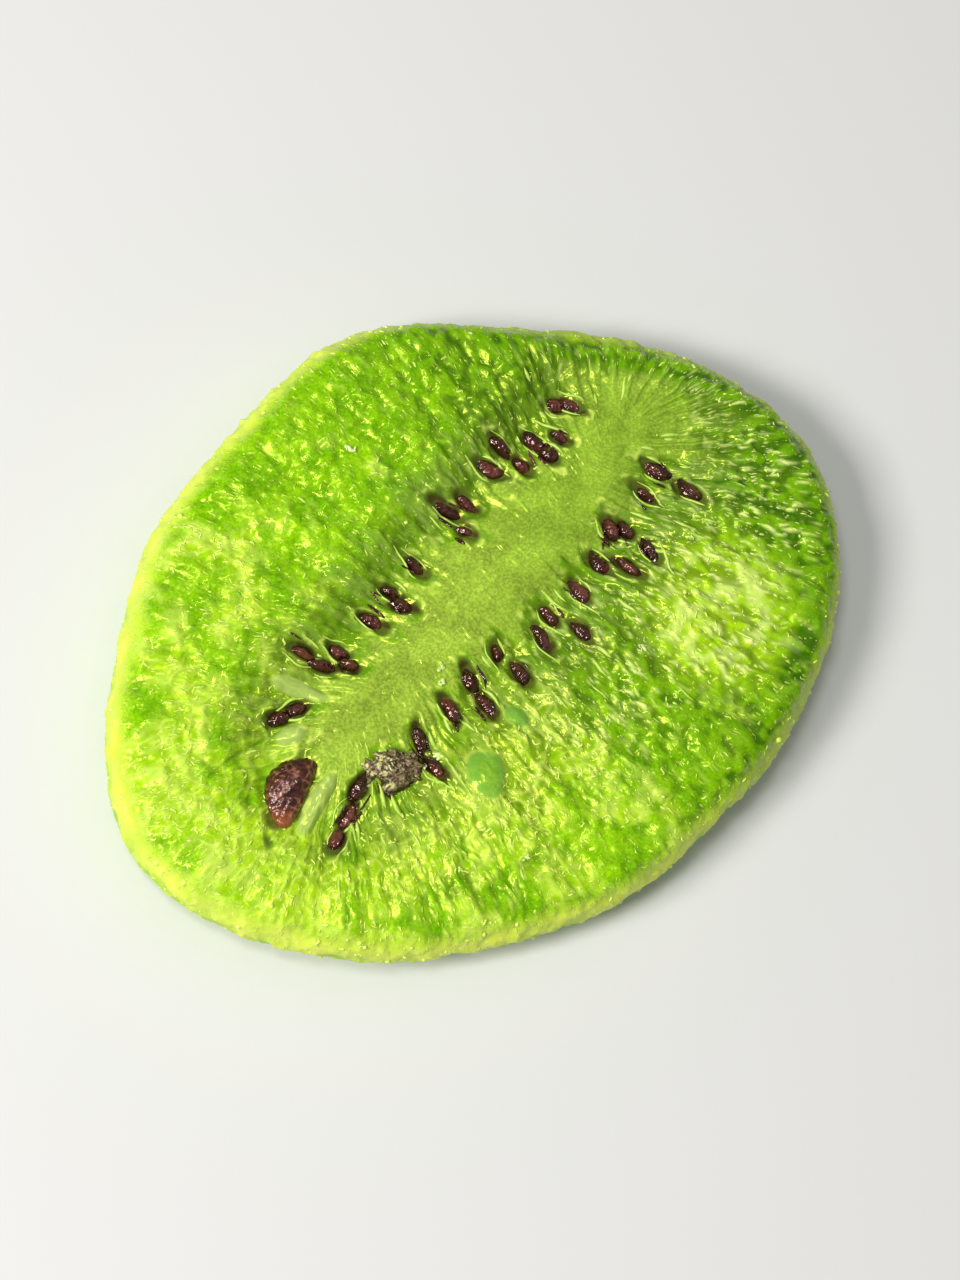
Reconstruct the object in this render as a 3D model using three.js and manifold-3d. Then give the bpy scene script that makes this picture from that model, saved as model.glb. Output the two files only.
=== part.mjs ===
// One slice of dried kiwi, lying flat with its cut face up.
//
// Millimetres, +Z up. The origin is at the middle of the underside. +X runs along the longer side of
// the slice's box and +Y across it. The slice was cut lengthwise, so its pale core is a long band that
// lies aslant, with the seeds in a loose ring around it. Both faces are cut faces. The flesh between
// the seeds and the rim stands a little higher than the core, and the seeds lie in a shallow groove.

import * as THREE from "three";
import { mergeVertices } from "three/addons/utils/BufferGeometryUtils.js";
import Module from "manifold-3d";

// ---- Driving sizes ----

const MEAN_RADIUS = 24.45; // of the outline, seen from above
// The outline leaves a circle by these waves: how many go round the slice, how high they are, and the
// angle of a crest.
const OUTLINE_WAVES = [
  { count: 1, height: 0.92, crest: 137 },
  { count: 2, height: 3.15, crest: 32 },
  { count: 3, height: 0.46, crest: 0 },
  { count: 4, height: 0.85, crest: 31 },
  { count: 6, height: 0.16, crest: -18 },
  { count: 7, height: 0.15, crest: 9 },
  { count: 8, height: 0.15, crest: -17 },
];

const THICKNESS = 7.5; // floor to the highest flesh
const RIM_DEPTH = 3.3; // how far in from the outline the rounded side begins
const RIM_FULLNESS = 0.72; // 1 is a half ellipse, less is boxier

const CORE_CENTRE = new THREE.Vector2(-0.65, 2.9);
const CORE_ANGLE = 50.4; // of the core's long axis from +X
const CORE_HALF_LENGTH = 16;
const CORE_HALF_WIDTH = 1.1; // of the innermost ring of points, well inside the pale band
const CORE_DROP = 0.7; // core below the flesh
const GROOVE_DEPTH = 0.75; // seed groove below the core
const GROOVE_OUT = 4.9; // groove's middle from the core's axis
const GROOVE_WIDTH = 1.9;
const FLESH_OUT = 9.5; // where the flesh reaches its full height
const GRAIN_FAN = 1.15; // how far the grain leans from the core's ends, 1 being even

const PLEAT_COUNT = 26; // soft folds that run from the core to the rim
const PLEAT_HEIGHT = 0.14;
const SWELL = 0.4; // the faces' slow rise and fall from side to side
const PRESSED = 0.3; // how much of the underside's swell is pressed flat
const UNDERSIDE_SHARE = 0.8; // the underside's groove, as a share of the top's

const SEED_WIDTH = 1.25;
const SEED_HEIGHT = 1.05;
const SEED_SINK = 0.1; // the seed's middle below the groove's surface
const SEED_CLEARANCE = 0.12; // the underside's seeds above the floor, at least

// The top face's seeds: how far the middle lies along the core's axis and out to its right, the length,
// and how far the seed leans from straight across the core, in degrees.
const SEEDS = [
  [15.6, 3.7, 2.5, 10],
  [15.8, 6.6, 2.5, 5],
  [13.7, 4.3, 2, 0],
  [10, 4, 2.2, -20],
  [10.6, 5, 1.7, -5],
  [10.4, 7.3, 2.3, -15],
  [7.4, 5.2, 2.3, -5],
  [8.4, 6.8, 2.7, 5],
  [4.9, 5.4, 2.3, -15],
  [2.1, 4.8, 2, -10],
  [0.5, 5.5, 2.6, -20],
  [2.5, 7.3, 2.2, -10],
  [-2.4, 3.6, 1.7, -30],
  [-2.6, 5.9, 2.1, -15],
  [-5.2, 3.4, 2.3, -25],
  [-5.9, 5.6, 2.6, -20],
  [-7.8, 3.7, 2.2, -10],
  [-10.8, 3.5, 2.2, -30],
  [-11.7, 5.8, 2.1, -5],
  [-12.8, 3.7, 2, 10],
  [-14.3, 3.2, 2.1, -20],
  [-16.4, 2.6, 2.3, -80],
  [-18.3, 3.3, 2.3, -80],
  [-20.1, 3.8, 2, -75],
  [15.2, -3.7, 1.9, 10],
  [14.5, -4.6, 1.6, 15],
  [12.7, -2.8, 1.6, 10],
  [11.2, -3.9, 2.3, 0],
  [11.2, -2.6, 1.7, 0],
  [9.3, -3.5, 1.7, -5],
  [9.2, -5.7, 2.3, 0],
  [7.5, -5.2, 2.6, 15],
  [4.5, -4.8, 1.9, 5],
  [3.1, -5.4, 3.2, 10],
  [2.8, -3.5, 1.7, 10],
  [-1.5, -4.4, 2.1, -5],
  [-4.2, -4.6, 1.9, 10],
  [-4.4, -3.4, 2.1, 20],
  [-6.6, -4.2, 2.1, 15],
  [-11.7, -6.5, 2.3, 20],
  [-11.4, -4.9, 2.2, 25],
  [-9.9, -4.6, 1.7, 10],
  [-10.2, -3.5, 1.6, 15],
  [-16.3, -4.7, 1.7, 55],
  [-14.9, -4.2, 1.7, 60],
];

// A big brown lump of seeds dried together, at the core's lower end. It turns from the core's axis.
const LUMP = { along: -19.7, out: -0.8, length: 5.7, width: 3.2, height: 2, turn: 17 };

const COLUMNS = 108; // points round each ring
const TOP_RINGS = [0, 0.07, 0.13, 0.19, 0.25, 0.31, 0.38, 0.48, 0.62, 0.8, 1];
const UNDER_RINGS = [0, 0.1, 0.18, 0.26, 0.34, 0.46, 0.66, 1];
const RIM_STEPS = 8;

const radians = THREE.MathUtils.degToRad;
const { smoothstep } = THREE.MathUtils;

// ---- The slice seen from above ----

function outlineRadius(angle) {
  return OUTLINE_WAVES.reduce(
    (radius, { count, height, crest }) => radius + height * Math.cos(count * (angle - radians(crest))),
    MEAN_RADIUS,
  );
}

const coreAxis = new THREE.Vector2(1, 0).rotateAround(new THREE.Vector2(), radians(CORE_ANGLE));
const coreRight = new THREE.Vector2(coreAxis.y, -coreAxis.x);

// A place given along the core's axis and out to its right.
function besideCore(along, out) {
  return CORE_CENTRE.clone().addScaledVector(coreAxis, along).addScaledVector(coreRight, out);
}

// The line that the flesh's grain follows at one turn round the core, from the core to the outline.
function grainLine(turn) {
  const start = besideCore(CORE_HALF_LENGTH * Math.cos(turn), -CORE_HALF_WIDTH * Math.sin(turn));
  const angle = Math.atan2(Math.sin(turn), GRAIN_FAN * Math.cos(turn)) + radians(CORE_ANGLE);
  const edge = new THREE.Vector2(Math.cos(angle), Math.sin(angle)).multiplyScalar(outlineRadius(angle));
  const outward = edge.clone().sub(start).normalize();
  return { turn, start, outward, faceLength: edge.distanceTo(start) - RIM_DEPTH };
}

// ---- Heights of the two cut faces ----

// How far the core and the seed groove lie below the flesh. The groove runs out before the core's
// upper end, where the fruit's stem was.
function dip(place) {
  const offset = place.clone().sub(CORE_CENTRE);
  const along = offset.dot(coreAxis);
  const fromCore = Math.hypot(Math.max(0, Math.abs(along) - CORE_HALF_LENGTH), offset.dot(coreRight));
  const core = CORE_DROP * (1 - smoothstep(fromCore, GROOVE_OUT - GROOVE_WIDTH, FLESH_OUT));
  const groove = GROOVE_DEPTH * Math.exp(-(((fromCore - GROOVE_OUT) / GROOVE_WIDTH) ** 2));
  return core + groove * (1 - smoothstep(along, CORE_HALF_LENGTH - 1, CORE_HALF_LENGTH + 3));
}

function topHeight(place) {
  const slow = Math.sin(place.x / 11 + 0.6) * Math.cos(place.y / 9 - 0.4);
  return THICKNESS - SWELL * (1 - slow) - dip(place);
}

function undersideHeight(place) {
  const slow = Math.cos(place.x / 10 - 0.8) * Math.sin(place.y / 12 + 1.1);
  return Math.max(0, UNDERSIDE_SHARE * dip(place) + SWELL * slow - PRESSED);
}

function pleat(turn, share) {
  const wander = 0.35 * Math.sin(3 * turn + 1) + 0.5 * Math.sin(7 * turn);
  return PLEAT_HEIGHT * Math.sin(PLEAT_COUNT * turn + wander) * smoothstep(share, 0.1, 0.5);
}

// ---- The flesh: rings of points from the middle of the top to the middle of the underside ----

function topPoint(line, share) {
  const place = line.start.clone().addScaledVector(line.outward, share * line.faceLength);
  return new THREE.Vector3(place.x, place.y, topHeight(place) + pleat(line.turn, share));
}

function undersidePoint(line, share) {
  const place = line.start.clone().addScaledVector(line.outward, share * line.faceLength);
  return new THREE.Vector3(place.x, place.y, undersideHeight(place));
}

// The rounded side: tilt goes from straight up, at the top face, to straight down.
function rimPoint(line, tilt) {
  const high = topPoint(line, 1).z;
  const low = undersidePoint(line, 1).z;
  const reach = line.faceLength + RIM_DEPTH * Math.cos(tilt) ** RIM_FULLNESS;
  const place = line.start.clone().addScaledVector(line.outward, reach);
  return new THREE.Vector3(place.x, place.y, (high + low) / 2 + ((high - low) / 2) * Math.sin(tilt));
}

function fleshRings() {
  const tilts = Array.from({ length: RIM_STEPS - 1 }, (_, step) => Math.PI * (0.5 - (step + 1) / RIM_STEPS));
  return [
    ...TOP_RINGS.map((share) => (line) => topPoint(line, share)),
    ...tilts.map((tilt) => (line) => rimPoint(line, tilt)),
    ...UNDER_RINGS.toReversed().map((share) => (line) => undersidePoint(line, share)),
  ];
}

// Fills a face's innermost ring, a slim ellipse, with a strip across the core's axis.
function middleStrip(first) {
  const faces = [];
  for (let column = 0; column < COLUMNS / 2; column++) {
    const [near, nearNext] = [first + column, first + column + 1];
    const [far, farNext] = [first + ((COLUMNS - column) % COLUMNS), first + COLUMNS - column - 1];
    if (far !== near) faces.push([near, nearNext, far]);
    if (farNext !== nearNext) faces.push([nearNext, farNext, far]);
  }
  return faces;
}

function fleshGeometry() {
  const lines = Array.from({ length: COLUMNS }, (_, column) => grainLine((column / COLUMNS) * 2 * Math.PI));
  const rings = fleshRings();
  const points = rings.flatMap((ring) => lines.flatMap((line) => ring(line).toArray()));
  const faces = middleStrip(0);
  for (let ring = 0; ring < rings.length - 1; ring++) {
    for (let column = 0; column < COLUMNS; column++) {
      const here = ring * COLUMNS + column;
      const next = ring * COLUMNS + ((column + 1) % COLUMNS);
      faces.push([here, here + COLUMNS, next], [next, here + COLUMNS, next + COLUMNS]);
    }
  }
  faces.push(...middleStrip((rings.length - 1) * COLUMNS).map((face) => face.reverse()));
  return new THREE.BufferGeometry()
    .setAttribute("position", new THREE.Float32BufferAttribute(points, 3))
    .setIndex(faces.flat());
}

// ---- Seeds, half sunk in either face ----

function grainGeometry(place, level, turn, { length, width, height }, around, tall) {
  return new THREE.SphereGeometry(0.5, around, tall)
    .rotateZ(Math.PI / 2)
    .scale(length, width, height)
    .rotateZ(radians(CORE_ANGLE + turn))
    .translate(place.x, place.y, level);
}

function seedGeometry(place, level, length, lean) {
  const size = { length, width: SEED_WIDTH, height: SEED_HEIGHT };
  return grainGeometry(place, level, lean + 90, size, 6, 4);
}

function topSeeds() {
  return SEEDS.map(([along, out, length, lean]) => {
    const place = besideCore(along, out);
    return seedGeometry(place, topHeight(place) - SEED_SINK, length, lean);
  });
}

// The underside shows fewer seeds, and they lie the other way along the core.
function undersideSeeds() {
  const lowest = SEED_CLEARANCE + SEED_HEIGHT / 2;
  return SEEDS.filter((_, index) => index % 2 === 0).map(([along, out, length, lean]) => {
    const place = besideCore(-along, out);
    return seedGeometry(place, Math.max(lowest, undersideHeight(place) + SEED_SINK), length, -lean);
  });
}

function lump() {
  const place = besideCore(LUMP.along, LUMP.out);
  return grainGeometry(place, topHeight(place) - 2 * SEED_SINK, LUMP.turn, LUMP, 14, 8);
}

// ---- One solid ----

const wasm = await Module();
wasm.setup();

function solidFrom(geometry) {
  const bare = new THREE.BufferGeometry()
    .setAttribute("position", geometry.getAttribute("position"))
    .setIndex(geometry.getIndex());
  const merged = mergeVertices(bare, 1e-4);
  return new wasm.Manifold(
    new wasm.Mesh({
      numProp: 3,
      vertProperties: merged.getAttribute("position").array,
      triVerts: new Uint32Array(merged.getIndex().array),
    }),
  );
}

function geometryFrom(solid) {
  const mesh = solid.getMesh();
  return new THREE.BufferGeometry()
    .setAttribute("position", new THREE.BufferAttribute(mesh.vertProperties, 3))
    .setIndex(new THREE.BufferAttribute(mesh.triVerts, 1));
}

function sliceGeometry() {
  const seeds = [...topSeeds(), lump(), ...undersideSeeds()];
  const slice = seeds.reduce((solid, seed) => solid.add(solidFrom(seed)), solidFrom(fleshGeometry()));
  const geometry = geometryFrom(slice);
  geometry.computeBoundingBox();
  const middle = geometry.boundingBox.getCenter(new THREE.Vector3());
  return geometry.translate(-middle.x, -middle.y, -geometry.boundingBox.min.z);
}

const fleshGreen = new THREE.MeshStandardMaterial({ color: 0x9ccf2a, roughness: 0.5, metalness: 0 });

const slice = new THREE.Mesh(sliceGeometry(), fleshGreen);
slice.name = "kiwi_slice";

const part = new THREE.Group();
part.add(slice);

export default part;
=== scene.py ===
"""One slice of dried kiwi, cut lengthwise: lime-green flesh round a pale core band and dark seeds."""

import cmath
import math
from collections import namedtuple

import bpy
import numpy as np
from bpy.props import FloatProperty, FloatVectorProperty, IntProperty, PointerProperty
from mathutils import Matrix, Vector, noise
from mathutils.bvhtree import BVHTree


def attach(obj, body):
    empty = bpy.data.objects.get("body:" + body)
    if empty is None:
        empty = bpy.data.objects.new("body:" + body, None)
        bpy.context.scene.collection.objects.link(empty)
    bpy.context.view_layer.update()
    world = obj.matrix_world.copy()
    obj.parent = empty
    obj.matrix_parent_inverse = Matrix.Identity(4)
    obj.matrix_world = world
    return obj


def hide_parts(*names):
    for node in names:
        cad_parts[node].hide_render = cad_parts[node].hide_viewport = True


bl_info = {
    "name": "Dried Kiwi Slice",
    "version": (1, 0, 0),
    "blender": (4, 5, 0),
    "location": "View3D > Sidebar > Dried Kiwi",
    "description": "Builds a slice of dried kiwi with its seeds, fibres and sugar, on a pale stage",
    "category": "Add Mesh",
}

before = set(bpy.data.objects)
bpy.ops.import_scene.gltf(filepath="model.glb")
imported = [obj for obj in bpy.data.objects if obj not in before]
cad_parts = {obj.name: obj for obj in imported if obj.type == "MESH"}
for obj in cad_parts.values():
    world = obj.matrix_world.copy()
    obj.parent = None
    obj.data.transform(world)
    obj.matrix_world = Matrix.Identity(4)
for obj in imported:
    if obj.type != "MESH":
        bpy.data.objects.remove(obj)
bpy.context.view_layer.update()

MM = 0.001  # every shape below is worked out in millimetres

# ---- The slice's own shape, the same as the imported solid's ----

MEAN_RADIUS = 24.45
# Waves that the outline leaves a circle by: count, height and the angle of a crest.
OUTLINE_WAVES = (
    (1, 0.92, 137),
    (2, 3.15, 32),
    (3, 0.46, 0),
    (4, 0.85, 31),
    (6, 0.16, -18),
    (7, 0.15, 9),
    (8, 0.15, -17),
)
THICKNESS = 7.5
RIM_DEPTH = 3.3
RIM_FULLNESS = 0.72

# Places seen from above are complex numbers: x + y i.
CORE_CENTRE = complex(-0.65, 2.9)
CORE_AXIS = cmath.rect(1, math.radians(50.4))
CORE_HALF_LENGTH = 16
CORE_HALF_WIDTH = 0.06
CORE_DROP = 0.7
GROOVE_DEPTH = 0.75
GROOVE_OUT = 4.9
GROOVE_WIDTH = 1.9
FLESH_OUT = 9.5
GRAIN_FAN = 1.15
PLEAT_COUNT = 26
SWELL = 0.4
PRESSED = 0.3
UNDERSIDE_SHARE = 0.8

# The top face's seeds: along the core's axis, out to its right, length, and lean in degrees.
SEEDS = (
    (15.6, 3.7, 2.5, 10),
    (15.8, 6.6, 2.5, 5),
    (13.7, 4.3, 2, 0),
    (10, 4, 2.2, -20),
    (10.6, 5, 1.7, -5),
    (10.4, 7.3, 2.3, -15),
    (7.4, 5.2, 2.3, -5),
    (8.4, 6.8, 2.7, 5),
    (4.9, 5.4, 2.3, -15),
    (2.1, 4.8, 2, -10),
    (0.5, 5.5, 2.6, -20),
    (2.5, 7.3, 2.2, -10),
    (-2.4, 3.6, 1.7, -30),
    (-2.6, 5.9, 2.1, -15),
    (-5.2, 3.4, 2.3, -25),
    (-5.9, 5.6, 2.6, -20),
    (-7.8, 3.7, 2.2, -10),
    (-10.8, 3.5, 2.2, -30),
    (-11.7, 5.8, 2.1, -5),
    (-12.8, 3.7, 2, 10),
    (-14.3, 3.2, 2.1, -20),
    (-16.4, 2.6, 2.3, -80),
    (-18.3, 3.3, 2.3, -80),
    (-20.1, 3.8, 2, -75),
    (15.2, -3.7, 1.9, 10),
    (14.5, -4.6, 1.6, 15),
    (12.7, -2.8, 1.6, 10),
    (11.2, -3.9, 2.3, 0),
    (11.2, -2.6, 1.7, 0),
    (9.3, -3.5, 1.7, -5),
    (9.2, -5.7, 2.3, 0),
    (7.5, -5.2, 2.6, 15),
    (4.5, -4.8, 1.9, 5),
    (3.1, -5.4, 3.2, 10),
    (2.8, -3.5, 1.7, 10),
    (-1.5, -4.4, 2.1, -5),
    (-4.2, -4.6, 1.9, 10),
    (-4.4, -3.4, 2.1, 20),
    (-6.6, -4.2, 2.1, 15),
    (-11.7, -6.5, 2.3, 20),
    (-11.4, -4.9, 2.2, 25),
    (-9.9, -4.6, 1.7, 10),
    (-10.2, -3.5, 1.6, 15),
    (-16.3, -4.7, 1.7, 55),
    (-14.9, -4.2, 1.7, 60),
)
# An oval form on the top face: its middle along the core and out from it, and its lean in degrees.
Form = namedtuple("Form", "along out length width height lean")
BLISTERS = (
    Form(-9.9, 8.7, 3.7, 2.9, 0.5, -25),
    Form(-5.3, 7.6, 1.9, 1.3, 0.3, 5),
)
LOBES = (
    Form(-19.3, 1.1, 5, 1.5, 0.5, -80),
    Form(-16.6, -3.3, 2.4, 1.3, 0.4, 60),
    Form(-13.9, -5.2, 4.4, 1.2, 0.3, 22),
)
GROOVE = Form(-20.2, -5, 5, 0.6, -0.3, 76)
WET_PATCH = Form(10, 13.5, 16, 15, 0, 0)  # ridged flesh with wet glints, no higher than the rest
# The wet patch is painted paler too: painted glints over its ridges, besides those that its relief catches.
PULP = Form(-13.9, 3.5, 4.5, 3.1, 1.3, 42)
# Crumbs lying on the top face: along, out and size.
CRUMBS = (
    (-12.6, 14.5, 0.8),
    (-12.6, 4.8, 0.9),
    (-12.2, 5.2, 0.6),
    (-10.9, 5.2, 0.7),
    (-6.1, 1.5, 0.9),
    (-6.9, 2.1, 0.6),
    (1.5, -13.4, 0.8),
    (4.5, 11.2, 0.6),
)
LUMP_ALONG, LUMP_OUT, LUMP_TURN = -19.7, -0.8, 17
LUMP_LENGTH, LUMP_WIDTH, LUMP_HEIGHT = 5.7, 3.1, 2
SEED_HOLLOW_WIDTH, SEED_HOLLOW_DEPTH = 0.56, 0.4  # half the width, and the depth
UNDER_HOLLOW_WIDTH, UNDER_HOLLOW_DEPTH = 0.8, 0.3
LUMP_HOLLOW_WIDTH, LUMP_HOLLOW_DEPTH = 1.05, 0.5

# Directions from the slice's middle, as angles.
# The end painted deepest in colour: a clearer green there, and painted shade laid over that end.
SHADED_END_ANGLE = math.radians(35)  # where the flesh is deepest in colour
# The side painted palest: painted light, as on the side that the light comes from.
LIT_SIDE_ANGLE = math.radians(246)  # where it is palest

# ---- How finely the flesh is meshed ----

COLUMNS = 1400
TOP_RINGS = 128
RIM_RINGS = 44
UNDER_RINGS = 24
GRAIN_GIRTH = 22  # the grain's lines are looked up on a circle this wide
RIM_ARC = 3.5  # the grain's length over the rounded side, for each radian of it
SWIRL_SEED = 7  # without it the flecks would lie differently each time
# How far apart the two faces' noises are looked up, so that the faces differ.
FACE_SHIFT = 40.0
FLECK_SHIFT = 60


# ---- Small helpers ----


def smoothstep(value, low, high):
    """0 up to low and 1 from high on, with a smooth rise between; high may be the lower one."""
    share = np.clip((value - low) / (high - low), 0, 1)
    return share * share * (3 - 2 * share)


def outline_radius(angle):
    """How far the outline is from the middle at each angle."""
    waves = [
        height * np.cos(count * (angle - math.radians(crest)))
        for count, height, crest in OUTLINE_WAVES
    ]
    return MEAN_RADIUS + sum(waves)


def box_shift():
    """What brings the outline's box to the middle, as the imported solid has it."""
    angles = np.linspace(0, 2 * np.pi, 1441)
    edge = outline_radius(angles) * np.exp(1j * angles)
    return -complex(edge.real.max() + edge.real.min(), edge.imag.max() + edge.imag.min()) / 2


SHIFT = box_shift()


def beside_core(along, out):
    """The place that lies so far along the core's axis and out to its right."""
    return CORE_CENTRE + (along - 1j * out) * CORE_AXIS


def core_offsets(place):
    """How far places lie along the core's axis and out to its right."""
    offset = (place - CORE_CENTRE) / CORE_AXIS
    return offset.real, -offset.imag


def from_core(place):
    """How far places are from the core's axis, which is a line with two ends."""
    along, out = core_offsets(place)
    return np.hypot(np.maximum(0, np.abs(along) - CORE_HALF_LENGTH), out)


def soft_noise(points, size, seed):
    """Smooth noise, about -0.7 to 0.7, whose bumps are about size across."""
    shift = np.array((17.3, 5.1, 9.7)) * seed
    spots = np.asarray(points, float).reshape(-1, 3) / size + shift
    values = np.array([noise.noise(Vector(spot)) for spot in spots])
    return values.reshape(np.asarray(points).shape[:-1])


def thin_ridges(values, width):
    """1 along the lines where noise passes zero, falling to 0 within width."""
    return np.clip(1 - np.abs(values) / width, 0, 1) ** 1.5


def flat_points(place, height=0.0):
    """Places seen from above, as points in three dimensions."""
    return np.stack([place.real, place.imag, np.broadcast_to(height, place.shape)], axis=-1)


# ---- Heights of the cut faces ----


def dip(place):
    """How deep the core band and the ring of seeds lie below the rest of a cut face."""
    along, _ = core_offsets(place)
    distance = from_core(place)
    core = CORE_DROP * (1 - smoothstep(distance, GROOVE_OUT - GROOVE_WIDTH, FLESH_OUT))
    groove = GROOVE_DEPTH * np.exp(-(((distance - GROOVE_OUT) / GROOVE_WIDTH) ** 2))
    return core + groove * (1 - smoothstep(along, CORE_HALF_LENGTH - 1, CORE_HALF_LENGTH + 3))


def top_height(place):
    """The top face without its fine relief, which swells a little as it dries."""
    slow = np.sin(place.real / 11 + 0.6) * np.cos(place.imag / 9 - 0.4)
    return THICKNESS - SWELL * (1 - slow) - dip(place)


def underside_height(place):
    """How far the underside lies above the floor, which presses the rest of it flat."""
    slow = np.cos(place.real / 10 - 0.8) * np.sin(place.imag / 12 + 1.1)
    return np.maximum(0, UNDERSIDE_SHARE * dip(place) + SWELL * slow - PRESSED)


class Oval:
    """An ellipse seen from above, long across the core's axis but for its lean."""

    def __init__(self, along, out, half_length, half_width, lean):
        self.place = beside_core(along, out)
        self.angle = cmath.phase(CORE_AXIS) + math.radians(lean + 90)
        self.half_length = half_length
        self.half_width = half_width

    def reach(self, place):
        """How far places are from the middle, 1 being on the ellipse."""
        local = (place - self.place) * cmath.exp(-1j * self.angle)
        return np.hypot(local.real / self.half_length, local.imag / self.half_width)


class Pocket(Oval):
    """A hollow that holds one seed, with its outward direction away from the core."""

    def __init__(self, along, out, length, lean, half_width, depth):
        super().__init__(along, out, 0.5 * length + 0.1, half_width, lean)
        self.length, self.depth = length, depth
        self.outward_angle = self.angle + (math.pi if out > 0 else 0)


TOP_POCKETS = [
    Pocket(*seed, half_width=SEED_HOLLOW_WIDTH, depth=SEED_HOLLOW_DEPTH) for seed in SEEDS
]
LUMP_POCKET = Pocket(
    LUMP_ALONG,
    LUMP_OUT,
    LUMP_LENGTH,
    LUMP_TURN - 90,
    half_width=LUMP_HOLLOW_WIDTH,
    depth=LUMP_HOLLOW_DEPTH,
)
UNDER_POCKETS = [
    Pocket(-along, out, length, -lean, half_width=UNDER_HOLLOW_WIDTH, depth=UNDER_HOLLOW_DEPTH)
    for along, out, length, lean in SEEDS[::2]
]


def pocket_shape(place, pockets):
    """How deep the pockets are at each place, and masks for their insides and for the lips round them."""
    depth = np.zeros(place.shape)
    inside = np.zeros(place.shape)
    lip = np.zeros(place.shape)
    ragged = 1 + 0.45 * soft_noise(flat_points(place), 0.9, 12)
    for pocket in pockets:
        reach = pocket.reach(place) * ragged
        depth = np.maximum(depth, pocket.depth * np.exp(-1.1 * reach**2))
        inside = np.maximum(inside, 1 - smoothstep(reach, 0.85, 1.3))
        lip = np.maximum(lip, np.exp(-(((reach - 1.4) / 0.25) ** 2)))
    broken = smoothstep(soft_noise(flat_points(place), 0.7, 13), -0.05, 0.25)
    return depth, inside, lip * (1 - inside) * broken


def form_oval(form):
    return Oval(form.along, form.out, form.length / 2, form.width / 2, form.lean)


def mound(place, form):
    """A smooth low dome: its height at each place, and masks of where it is and of its outline."""
    ragged = 1 + 0.3 * soft_noise(flat_points(place), 1.7, 26)
    reach = form_oval(form).reach(place) * ragged
    edge = np.exp(-(((reach - 1) / 0.1) ** 2))
    height = form.height * np.clip(1 - reach**2, 0, 1) ** 0.8
    return height, 1 - smoothstep(reach, 0.8, 1.05), edge


def mounds(place, forms):
    """The heights and masks of several domes together."""
    return [max_over(parts) for parts in zip(*(mound(place, form) for form in forms))]


# ---- The flesh's rings of points ----


def grain_lines():
    """The lines from the core to the outline that the flesh's grain follows, one for each column."""
    turn = np.arange(COLUMNS) / COLUMNS * 2 * np.pi
    start = beside_core(CORE_HALF_LENGTH * np.cos(turn), -CORE_HALF_WIDTH * np.sin(turn))
    angle = np.arctan2(np.sin(turn), GRAIN_FAN * np.cos(turn)) + cmath.phase(CORE_AXIS)
    edge = outline_radius(angle) * np.exp(1j * angle)
    length = np.abs(edge - start)
    return turn, start, (edge - start) / length, length - RIM_DEPTH


def grain_points(turn, distance, around, along):
    """Points to look noise up at, whose bumps are around wide across the grain and along long with it."""
    girth = GRAIN_GIRTH / around
    return np.stack([girth * np.cos(turn), girth * np.sin(turn), distance / along], axis=-1)


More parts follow.
